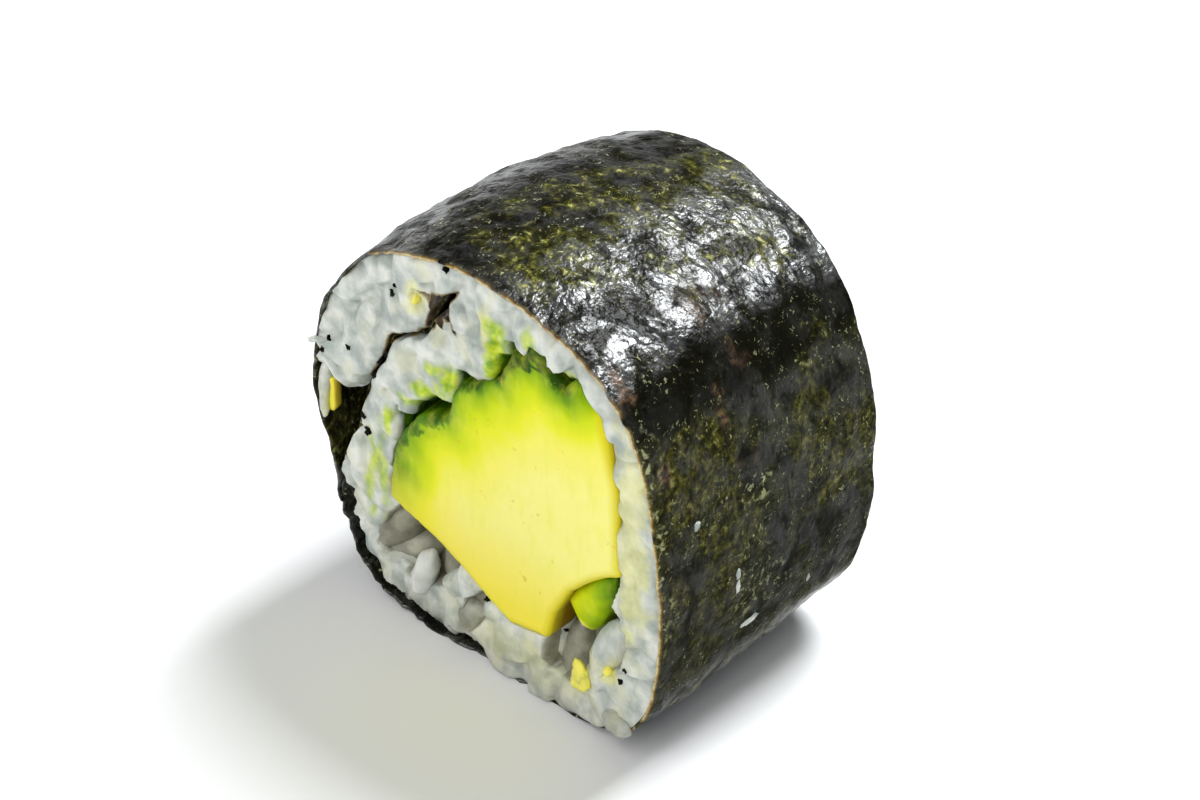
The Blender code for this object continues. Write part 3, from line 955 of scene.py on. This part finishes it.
def rice_outline():
    """The rice's outline in the front cut face, and how its points move in further back."""
    way, line, normals = sheet_line()
    spots = spread(line)
    tuck_from = np.argmin(np.linalg.norm(line - np.array(CREASE[0]), axis=1))
    is_tucked = np.arange(len(line)) > tuck_from
    touching = SHEET + 0.03 - crinkles(way, np.full(len(way), FRONT), normals)
    off_tuck = RICE_GAP + np.clip(0.05 + 0.25 * noise_over(spots, 0.9, 77.0), 0.0, 0.4)
    behind = np.where(is_tucked, off_tuck, touching)
    inside = RICE_INSIDE + NARROWING * corner_share(normals)
    moves = -normals * np.where(is_tucked, 0.0, inside - behind)[:, None]
    inner = line - normals * behind[:, None]
    before = np.clip(0.04 + 0.3 * noise_over(spots, 1.0, 78.0), 0.02, 0.4)
    ahead = line + normals * before[:, None]
    start = next(i for i, p in enumerate(inner) if p[1] > LOBE_FOOT[-1][1] + 0.7)
    lobe_side = [p for p in ahead[tuck_from:][::-1] if p[1] > LOBE_FOOT[0][1] + 0.3]
    _, foot = resample(smooth_line([lobe_side[-1], *LOBE_FOOT, inner[start]], 8), LINE_STEP)
    outline = np.array([*inner[start:], *lobe_side, *foot[1:-1]])
    still = np.zeros((len(outline) - len(inner[start:]), 2))
    return outline, np.concatenate([moves[start:], still])


def ragged_outline(points, step, amount, seed):
    """A closed outline with its edge broken up by this amount or amount(point)."""
    line = resample([*points, points[0]], step)[1][:-1]
    shift = layered(spread(line), (1.0, 1.6, seed), (0.6, 0.7, seed + 1))
    shift *= np.array([amount(p) for p in line]) if callable(amount) else amount
    return line + outward_normals(line, closed=True) * shift[:, None]


def wedge_raggedness(point):
    """The skin side is torn, and the other sides are cut clean."""
    x, z = point
    return 0.22 if z - 0.9 * x > 14.0 or z > 25.0 else 0.07


def gap_share(plane, reach=1.0):
    """How near each of the points is to the gaps, from 0 to 1."""
    shares = [1.0 - reach_from(plane, x, z) / (size * reach) for x, z, _, _, size in GAPS]
    return unit(np.max(shares, axis=0))


def parted(outline):
    """The hole that holds the wedge, open at the gaps, and how its points move back deeper in."""
    opened, weights = np.zeros((len(outline), 2)), np.zeros(len(outline))
    for x, z, off_x, off_z, reach in GAPS:
        share = unit(1.0 - (reach_from(outline, x, z) / reach) ** 2) ** 2
        opened += share[:, None] * np.array([off_x, off_z])
        weights += share
    uneven = 1.0 + 0.35 * noise_over(spread(outline), 0.8, 79.0)
    opened *= (uneven / np.maximum(weights, 1.0))[:, None]
    return outline + opened, -opened


def carried(plane, outline, moves, reach):
    """The outline's moves, fading out over the reach, at each point of the plane."""
    best = np.full(len(plane), np.inf)
    found = np.zeros((len(plane), 2))
    for point, move in zip(outline, moves):
        away = np.linalg.norm(plane - point, axis=1)
        closer = away < best
        best[closer] = away[closer]
        found[closer] = move
    return found * fading(best, reach)[:, None]


def triangulated(outline, holes, step, lines=()):
    """Points and triangles that fill the outline, leaving the holes open, with edges along the lines."""
    loops = [outline, *holes, *lines]
    low, high = outline.min(axis=0), outline.max(axis=0)
    rows = np.arange(low[1], high[1], step * 0.87)
    grid = []
    for i, z in enumerate(rows):
        xs = np.arange(low[0] + (i % 2) * step / 2, high[0], step)
        grid.append(np.stack([xs, np.full(len(xs), z)], axis=1))
    grid = np.concatenate(grid)
    grid = grid[is_inside(outline, grid)]
    for loop in loops:
        grid = grid[nearest_on(loop, grid)[0] > 0.5 * step]
    for hole in holes:
        grid = grid[~is_inside(hole, grid)]
    points = np.concatenate([*loops, grid])
    edges, first = [], 0
    for loop in loops:
        edges += [(first + i, first + (i + 1) % len(loop)) for i in range(len(loop))]
        first += len(loop)
    found = delaunay_2d_cdt([Vector(p) for p in points], edges, [], 0, 1e-7)
    points = np.array([tuple(p) for p in found[0]])
    triangles = np.array(found[2])
    middles = points[triangles].mean(axis=1)
    kept = is_inside(outline, middles)
    for hole in holes:
        kept &= ~is_inside(hole, middles)
    return points, triangles[kept]


def cut_length(name, outline, holes, step, front_at, back_at, lines=(), moved=None):
    """A filling's length with uneven cut faces: front_at and back_at give their Y for each point.

    Behind GAP_DEPTH, its points are moved across by moved(plane)."""
    plane, triangles = triangulated(outline, holes, step, lines)
    deep = plane if moved is None else plane + moved(plane)
    edges = np.concatenate([triangles[:, [0, 1]], triangles[:, [1, 2]], triangles[:, [2, 0]]])
    _, index, counts = np.unique(np.sort(edges, axis=1), axis=0, return_index=True, return_counts=True)
    rim = edges[index[counts == 1]]
    on_rim = np.unique(rim)
    number = np.full(len(plane), -1)
    number[on_rim] = np.arange(len(on_rim))
    front, back = (np.broadcast_to(y_at(plane), len(plane)) for y_at in (front_at, back_at))
    total = len(plane)
    points = [upright(plane, front), upright(deep, back)]
    rings = [on_rim]
    for i, depth in enumerate(WALL_DEPTHS):
        y = np.minimum(front[on_rim] + depth, back[on_rim] - 0.2)
        here = plane[on_rim] + (deep - plane)[on_rim] * min(1.0, depth / GAP_DEPTH)
        points.append(upright(here, y))
        rings.append(2 * total + i * len(on_rim) + np.arange(len(on_rim)))
    rings.append(on_rim + total)
    faces = [tuple(t) for t in triangles.tolist()]
    faces += [(c + total, b + total, a + total) for a, b, c in triangles.tolist()]
    for near, far in zip(rings, rings[1:]):
        for i, j in number[rim]:
            faces.append((int(near[j]), int(near[i]), int(far[i]), int(far[j])))
    obj = mesh_object(name, np.concatenate(points), faces)
    turn_outwards(obj.data)
    return obj


def sunk_within(outline, plane, depth, slope):
    """A depth inside the outline that is reached this many millimetres down per one inwards."""
    outline = np.array(outline)
    edge = nearest_on(outline, plane)[0]
    return np.where(is_inside(outline, plane), np.minimum(depth, edge * slope), 0.0)


def hollow_depth(plane):
    """How deep the front cut face is hollowed, in millimetres."""
    return np.max([sunk_within(outline, plane, depth, 7.0) for outline, depth in HOLLOWS], axis=0)


def scattered_grains(rng, outline, holes, sunk_at):
    """Pressed grains under a cut face: centre, depth of the middle, direction and half sizes."""
    (left, low), (right, high) = outline.min(axis=0), outline.max(axis=0)
    tries = np.array([[rng.uniform(left, right), rng.uniform(low, high)] for _ in range(GRAIN_TRIES)])
    fits = is_inside(outline, tries)
    for hole in holes:
        fits &= ~is_inside(hole, tries)
    chosen = []
    for spot in tries[fits]:
        if all(np.hypot(*(spot - other)) > GRAIN_SPACING for other in chosen):
            chosen.append(spot)
    grains = []
    for spot, depth in zip(chosen, sunk_at(np.array(chosen))):
        half_width = rng.uniform(0.8, 1.05) * GRAIN_WIDTH / 2
        half_length = rng.uniform(0.75, 1.05) * GRAIN_LENGTH / 2
        angle = rng.uniform(0.0, math.pi)
        way = Vector((math.cos(angle), rng.uniform(-0.5, 0.5), math.sin(angle))).normalized()
        top = depth + rng.uniform(-0.3, 0.4)
        grains.append((spot, top + half_width, way, half_width, half_length))
    return grains


def pressed_face(plane, grains, core):
    """How deep the cut face lies at each point: grains on a core, soft where they meet."""
    weight = np.exp(-core / SOFTNESS)
    for spot, depth, (ux, uy, uz), half_width, half_length in grains:
        away = plane - spot
        near = np.abs(away).max(axis=1) < half_length
        dx, dz = away[near].T
        thin = 1.0 / half_width ** 2
        more = 1.0 / half_length ** 2 - thin
        along = ux * dx + uz * dz
        a = thin + more * uy * uy
        b = 2.0 * more * uy * along
        c = thin * (dx * dx + dz * dz) + more * along ** 2 - 1.0
        inside_square = b * b - 4.0 * a * c
        over = inside_square > 0.0
        surface = depth + (-b - np.sqrt(np.where(over, inside_square, 0.0))) / (2.0 * a)
        weight[near] += np.where(over, np.exp(-np.clip(surface, -1.0, 9.0) / SOFTNESS), 0.0)
    return -SOFTNESS * np.log(weight)


def knife_plane(plane, seed):
    """How far the knife's cut is from flat, in millimetres."""
    return layered(spread(plane), (0.14, 5.0, seed), (0.05, 1.3, seed + 1))


def edge_recess(plane, edge):
    """The rice sinks here and there behind the nori's edge along the lower left."""
    spots = spread(plane)
    lower_left = falling(plane[:, 0], 1.0, 3.0) * falling(plane[:, 1], 9.0, 3.0)
    patchy = np.clip((noise_over(spots, 2.2, 76.0) + 0.35) / 0.35, 0.15, 1.0)
    reach = 0.7 + 0.7 * noise_over(spots, 1.1, 71.0)
    return 1.3 * lower_left * patchy * fading(edge - 0.1, np.maximum(reach, 0.2)) ** 0.6


def rice_front_at(outline, hole, grains):
    def front_at(plane):
        hollow = hollow_depth(plane)
        spots = spread(plane)
        star = sunk_within(STAR_HOLE, plane, 1.7, 20.0) * (1.0 + 0.25 * noise_over(spots, 0.5, 70.0))
        arm = sunk_within(STAR_ARM, plane, 0.75, 4.0)
        core = CORE_DEPTH + 0.2 * noise_over(spots, 2.5, 72.0) + hollow
        pressed = pressed_face(plane, grains, core)
        depth = np.max([pressed, hollow - 0.8, star, arm, knife_plane(plane, 31.0)], axis=0)
        depth += 0.9 * fading(away_from(LOBE_FOOT, plane), 1.3) ** 2
        depth += 0.45 * fading(away_from(CREASE[:-3], plane), 0.7) ** 2
        lip = fading(nearest_on(hole, plane)[0], 0.6) ** 2
        depth += (0.1 + 0.5 * np.minimum(1.0, 2.0 * gap_share(plane, 1.6))) * lip
        edge = nearest_on(outline, plane)[0]
        return FRONT + depth + edge_recess(plane, edge) + 0.03 * noise_over(spots, 0.5, 73.0)
    return front_at


def rice_back_at(grains):
    def back_at(plane):
        spots = spread(plane, 1.0)
        core = CORE_DEPTH + 0.2 * noise_over(spots, 2.5, 74.0)
        depth = np.maximum(pressed_face(plane, grains, core), knife_plane(plane, 35.0))
        return BACK - depth - 0.03 * noise_over(spots, 0.5, 75.0)
    return back_at


def build_rice(wedge, sliver, material):
    """The rice's length, and the function that gives its front face's Y."""
    rng = random.Random(7)
    outline, outline_moves = rice_outline()
    hole, hole_moves = parted(wedge)
    holes = (hole, sliver)
    front_grains = scattered_grains(rng, outline, holes, hollow_depth)
    back_grains = scattered_grains(rng, outline, holes, lambda plane: np.zeros(len(plane)))
    front_at = rice_front_at(outline, hole, front_grains)
    star = ragged_outline(STAR_HOLE, FINE_EDGE_STEP, 0.03, 67.0)

    def moved(plane):
        return carried(plane, outline, outline_moves, 2.6) + carried(plane, hole, hole_moves, 1.5)

    obj = cut_length(
        "rice_pressed", outline, holes, RICE_STEP, front_at, rice_back_at(back_grains), (star,), moved
    )
    set_rice_masks(obj.data)
    finish_piece(obj, "rice", material, "rice")
    return front_at


def set_rice_masks(mesh, greyness=None):
    """Stains on the front cut face, painted shade in the hollows and towards the bottom, the dark of gaps,
    partly painted shade, and painted shade in tears.
    """
    points = coordinates(mesh)
    breakup = layered(points, (1.0, 1.2, 41.0), (0.5, 0.5, 42.0))
    plane, depth = points[:, [0, 2]], points[:, 1] - FRONT
    near = fading(depth - 1.0, 3.0)
    far = unit((FRONT + 6.0 - points[:, 1]) / 1.5)
    # Painted shade: grey in the hollows and towards the bottom, or the greyness given for whole grains,
    # which is painted light below 0
    within = np.max([sunk_within(outline, plane, 1.0, 5.0) for outline, _ in HOLLOWS], axis=0)
    low = 0.42 * falling(points[:, 2], 3.2, 1.6) * np.clip(1.0 + 0.6 * breakup, 0.4, 1.0)
    deep = np.maximum(within * far, low * near) if greyness is None else greyness
    # Dark green on the rice in the gaps: partly green skin, partly painted shade
    gap = np.minimum(1.0, 4.0 * gap_share(plane, 1.3)) * unit((depth - 0.55 + 0.2 * breakup) / 0.3)
    # Painted shade: dark brown in the star hole, its arm and along the crease
    hole = np.array(STAR_HOLE)
    star = unit(1.2 - np.where(is_inside(hole, plane), 0.0, nearest_on(hole, plane)[0]) / 0.12)
    arm = 0.5 * np.minimum(1.0, sunk_within(STAR_ARM, plane, 1.0, 6.0))
    inside_crease = fading(away_from(CREASE, plane), 0.35) * rising(depth, 0.3, 0.4)
    set_masks(
        mesh,
        green=stains(plane, GREEN_SMEARS, breakup) * near,
        yellow=stains(plane, YELLOW_SMEARS, breakup) * near,
        deep=deep,
        gap=gap * far * (deep < 0.5),
        torn=np.max([star, arm, np.minimum(1.0, 2.0 * inside_crease)], axis=0) * far,
    )


def grain_tree():
    """Grains on points, turned and sized by the points' own attributes."""
    tree, given, result = node_group("rice grains", "GeometryNodeTree", (
        ("Points", "NodeSocketGeometry", None),
        ("Sides", "NodeSocketInt", 16),
        ("Rings", "NodeSocketInt", 12),
        ("Unevenness", "NodeSocketFloat", 0.75),
        ("Bump size", "NodeSocketFloat", 1.3),
        ("Material", "NodeSocketMaterial", None),
    ), ("Grains", "NodeSocketGeometry"))
    turn, size = (
        add_node(tree, "GeometryNodeInputNamedAttribute", {"data_type": "FLOAT_VECTOR"}, Name=name)
        for name in ("turn", "size")
    )
    made = add_node(
        tree, "GeometryNodeInstanceOnPoints", Points=given["Points"], Scale=size,
        Instance=add_node(tree, "GeometryNodeMeshUVSphere", Segments=given["Sides"], Rings=given["Rings"]),
        Rotation=add_node(tree, "FunctionNodeEulerToRotation", Euler=turn),
    )
    made = add_node(tree, "GeometryNodeRealizeInstances", Geometry=made)
    wobble = add_node(
        tree, "ShaderNodeTexNoise", Scale=maths(tree, "DIVIDE", 1.0, given["Bump size"]), Detail=1.0,
        Vector=add_node(tree, "GeometryNodeInputPosition"),
    )
    centred = maths(
        tree, "SUBTRACT", wobble.outputs["Color"], (0.5, 0.5, 0.5), kind="ShaderNodeVectorMath"
    )
    shift = add_node(
        tree, "ShaderNodeVectorMath", {"operation": "SCALE"}, Vector=centred, Scale=given["Unevenness"]
    )
    made = add_node(tree, "GeometryNodeSetPosition", Geometry=made, Offset=shift)
    made = add_node(tree, "GeometryNodeSetMaterial", Geometry=made, Material=given["Material"])
    connect(tree, made, result)
    return tree


def build_grains(name, tree, grains, material):
    """Whole grains: middle (x, depth, z), direction, half width, half length, greyness (painted shade, or
    painted light below 0).
    """
    obj = mesh_object(name, [(x, FRONT + depth, z) for (x, depth, z), *_ in grains], [])
    turns = [tuple(Vector(way).to_track_quat("Z", "Y").to_euler()) for _, way, *_ in grains]
    set_vectors(obj.data, "turn", turns)
    set_vectors(obj.data, "size", [(width, width, length) for _, _, width, length, _ in grains])
    set_masks(obj.data, deep=[grain[-1] for grain in grains])
    modifier = obj.modifiers.new("grains", "NODES")
    modifier.node_group = tree
    sockets = {s.name: s.identifier for s in tree.interface.items_tree if s.in_out == "INPUT"}
    modifier[sockets["Material"]] = material
    apply_modifiers(obj)
    deep = np.empty(len(obj.data.vertices), np.float32)
    obj.data.attributes["deep"].data.foreach_get("value", deep)
    set_rice_masks(obj.data, deep)
    finish_piece(obj, "rice", material, "rice")


def lumps(name, centres, sizes, turns, seed, unevenness=0.5):
    """Small uneven lumps in one mesh, in straight-roll millimetres."""
    bm = bmesh.new()
    for centre, size, turn in zip(centres, sizes, turns):
        made = bmesh.ops.create_icosphere(bm, subdivisions=3, radius=1.0)
        shift = Vector(centre) * 5.1 + Vector((seed, 0.0, 0.0))
        for vert in made["verts"]:
            uneven = noise.noise(vert.co * 1.2 + shift) + 0.7 * noise.noise(vert.co * 2.6 + shift)
            scaled = Vector(a * b for a, b in zip(vert.co, size)) * (1.0 + unevenness * uneven)
            vert.co = Euler((0.0, turn, 0.0)).to_matrix() @ scaled + Vector(centre)
    mesh = bpy.data.meshes.new(name)
    bm.to_mesh(mesh)
    bm.free()
    return add_object(name, mesh)


def on_face(front_at, spots):
    """The spots (x, z) of the front face as points on its surface."""
    plane = np.array(spots, float)
    return [Vector(point) for point in upright(plane, front_at(plane))]


def build_flap_strip(material):
    outline = ragged_outline(FLAP_STRIP, FINE_EDGE_STEP, 0.08, 65.0)
    near, far = FLAP_STRIP_DEPTHS
    obj = cut_length(
        "flap_strip", outline, (), AVOCADO_STEP,
        lambda plane: FRONT + near + 0.25 * (plane[:, 0] + 15.6),
        lambda plane: FRONT + far,
    )
    x = coordinates(obj.data)[:, 0]
    set_masks(
        obj.data, skin=0.25, rim=0.0, ripe=rising(x, -15.5, 0.15), wall=0.6 * rising(x, -15.15, 0.12)
    )
    finish_piece(obj, "avocado", material)


def build_crumbs(front_at, avocado, nori, rice):
    places = on_face(front_at, [(x, z) for x, z, *_ in CRUMBS])
    for spot in places:
        spot.y = min(spot.y, FRONT + 0.7) - 0.2
    sizes = [(half_width, 0.4, half_height) for _, _, half_width, half_height, _ in CRUMBS]
    obj = lumps("avocado_crumbs", places, sizes, [math.radians(t) for *_, t in CRUMBS], 3.0, 0.3)
    set_masks(obj.data, skin=0.7, rim=0.0, ripe=0.5, wall=0.0)
    finish_piece(obj, "avocado", avocado)

    places = on_face(front_at, [(x, z) for x, z, _ in NORI_BITS])
    sizes = [(size, 0.12, size * 1.2) for *_, size in NORI_BITS]
    obj = lumps("nori_bits", places, sizes, [2.4 * i for i in range(len(NORI_BITS))], 5.0, 1.0)
    set_vectors(obj.data, "sheet", coordinates(obj.data) * MM)
    plain = ("shade", "smooth", "olive", "copper", "cut", "specks")
    set_masks(obj.data, side=0.0, dull=1.0, **dict.fromkeys(plain, 0.0))
    finish_piece(obj, "nori", nori)

    places = [Vector((x, FRONT + depth, z)) for (x, depth, z), *_ in RICE_SCRAPS]
    sizes = [size for _, size, _ in RICE_SCRAPS]
    turns = [math.radians(tilt) for *_, tilt in RICE_SCRAPS]
    for way, y, along, around in SIDE_SCRAPS:
        spot, out = sheet_point(way, y)
        places.append(spot)
        sizes.append((0.10, along, around))
        turns.append(math.atan2(-out.z, out.x))
    obj = lumps("rice_scraps", places, sizes, turns, 9.0)
    set_rice_masks(obj.data, 0.05)
    finish_piece(obj, "rice", rice)


# The avocado


def build_wedge(outline, material):
    def cut_depth(plane, third, seed):
        """How far a cut face lies in from the roll's end: uneven, and worn along its edge."""
        uneven = layered(spread(plane, third), (0.12, 5.0, seed), (0.04, 1.4, seed + 1))
        return 0.08 + uneven + 0.25 * fading(nearest_on(outline, plane)[0], 0.45) ** 2

    obj = cut_length(
        "avocado_wedge_flesh", outline, (), AVOCADO_STEP,
        lambda plane: FRONT + cut_depth(plane, 0.0, 51.0), lambda plane: BACK - cut_depth(plane, 1.0, 53.0),
    )
    points = coordinates(obj.data)
    plane = points[:, [0, 2]]
    from_skin = away_from(WEDGE_SKIN[:-2], plane)
    from_cut = away_from([WEDGE_SKIN[-1], *WEDGE_CUT, WEDGE_SKIN[0]], plane)
    inside = np.minimum(points[:, 1] - FRONT, BACK - points[:, 1])
    left = [width * unit(1.3 - reach_from(plane, x, z) / reach) for x, z, reach, width in SKIN_REMAINS]
    breakup = 1.0 + layered(points, (0.9, 0.9, 55.0), (0.9, 0.35, 56.0))
    dark = unit((np.max(left, axis=0) * breakup - from_skin) / 0.2)
    dark = np.maximum(dark, rising(inside, 0.25, 0.2) * (from_skin < 0.6))
    left_edge = falling(plane[:, 1], 18.0, 4.0) * falling(plane[:, 0], -4.0, 2.5)
    fade = SKIN_FADE * (1.0 + 0.75 * left_edge)
    set_masks(
        obj.data,
        skin=(SKIN_EDGE + from_skin / fade) * (1.0 - 0.9 * dark),
        rim=fading(from_cut, 0.7),
        ripe=falling(points[:, 2], 13.0, 6.5),
        # Painted shade: brown on the side walls away from the skin, inside the roll
        wall=rising(inside, 0.35, 1.2) * unit(from_skin - 1.0),
    )
    finish_piece(obj, "avocado", material, "avocado_wedge")


def build_sliver(outline, material):
    def front_at(plane):
        slant = 0.2 * np.clip(13.0 - plane[:, 1], 0.0, 9.0)
        worn = 0.5 * fading(nearest_on(outline, plane)[0], 0.8) ** 2
        return FRONT + SLIVER_RECESS - 1.75 + slant + worn

    obj = cut_length("avocado_sliver_flesh", outline, (), AVOCADO_STEP, front_at, lambda plane: BACK - 0.3)
    plane = coordinates(obj.data)[:, [0, 2]]
    darker = 0.10 * rising(plane[:, 1], 10.3, 2.0)
    green = 0.08 - darker + away_from(SLIVER[3:8], plane) / SLIVER_FADE
    # A painted glint: pale at the sliver's lower tip
    painted_glint = unit(1.3 - reach_from(plane, 8.3, 7.1) / 0.5)
    set_masks(obj.data, skin=np.maximum(green, 0.9 * painted_glint), rim=0.0, ripe=0.0, wall=0.0)
    finish_piece(obj, "avocado", material, "avocado_sliver")


# Light, floor and camera


def build_stage():
    corners = [(-FLOOR, -FLOOR, 0.0), (FLOOR, -FLOOR, 0.0), (FLOOR, FLOOR, 0.0), (-FLOOR, FLOOR, 0.0)]
    floor = mesh_object("floor", corners, [(0, 1, 2, 3)])
    floor.data.materials.append(floor_material())
    world = bpy.data.worlds.new("studio")
    world.use_nodes = True
    tree = world.node_tree
    fill(tree, tree.nodes["Background"], Color=(0.9, 0.95, 1.0, 1.0), Strength=0.30)
    bpy.context.scene.world = world


def build_lights():
    """Rectangular lights that face the roll's middle."""
    target = Vector((0.0, 0.0, MIDDLE_HEIGHT * MM))
    for name, direction, width, height, radiance, colour in LIGHTS:
        light = bpy.data.lights.new(name, "AREA")
        light.shape = "RECTANGLE"
        light.size = width
        light.size_y = height
        light.energy = radiance * math.pi * width * height
        light.color = colour
        obj = add_object(name, light)
        way = Vector(direction).normalized()
        obj.location = target + way * LIGHT_DISTANCE
        obj.rotation_euler = way.to_track_quat("Z", "Y").to_euler()


def build_camera():
    camera = bpy.data.cameras.new("camera")
    camera.sensor_width = SENSOR_WIDTH
    camera.lens = LENS
    obj = add_object("camera", camera)
    obj.location = (Vector(CAMERA_PLACE) + Vector(SHIFT)) * MM
    low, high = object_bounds()
    target = (Vector(low) + Vector(high)) / 2
    obj.rotation_euler = (obj.location - target).to_track_quat("Z", "Y").to_euler()
    bpy.context.scene.camera = obj


def build_maki():
    nori = nori_material()
    mottle = mottle_group()
    dents = dents_group()
    rice = rice_material(mottle, dents)
    avocado = avocado_material(mottle, dents)
    build_nori(nori)
    wedge = ragged_outline((*WEDGE_SKIN, *WEDGE_CUT), EDGE_STEP, wedge_raggedness, 61.0)
    sliver = ragged_outline(SLIVER, EDGE_STEP, 0.06, 63.0)
    front_at = build_rice(wedge, sliver, rice)
    build_grains("rice_grains", grain_tree(), (*HOLLOW_GRAINS, PROTRUDING_GRAIN, FLAP_GRAIN), rice)
    build_wedge(wedge, avocado)
    build_sliver(sliver, avocado)
    build_flap_strip(avocado)
    build_crumbs(front_at, avocado, nori, rice)


build_camera()
build_stage()
build_lights()
build_maki()
bpy.context.scene.view_settings.view_transform = "Standard"
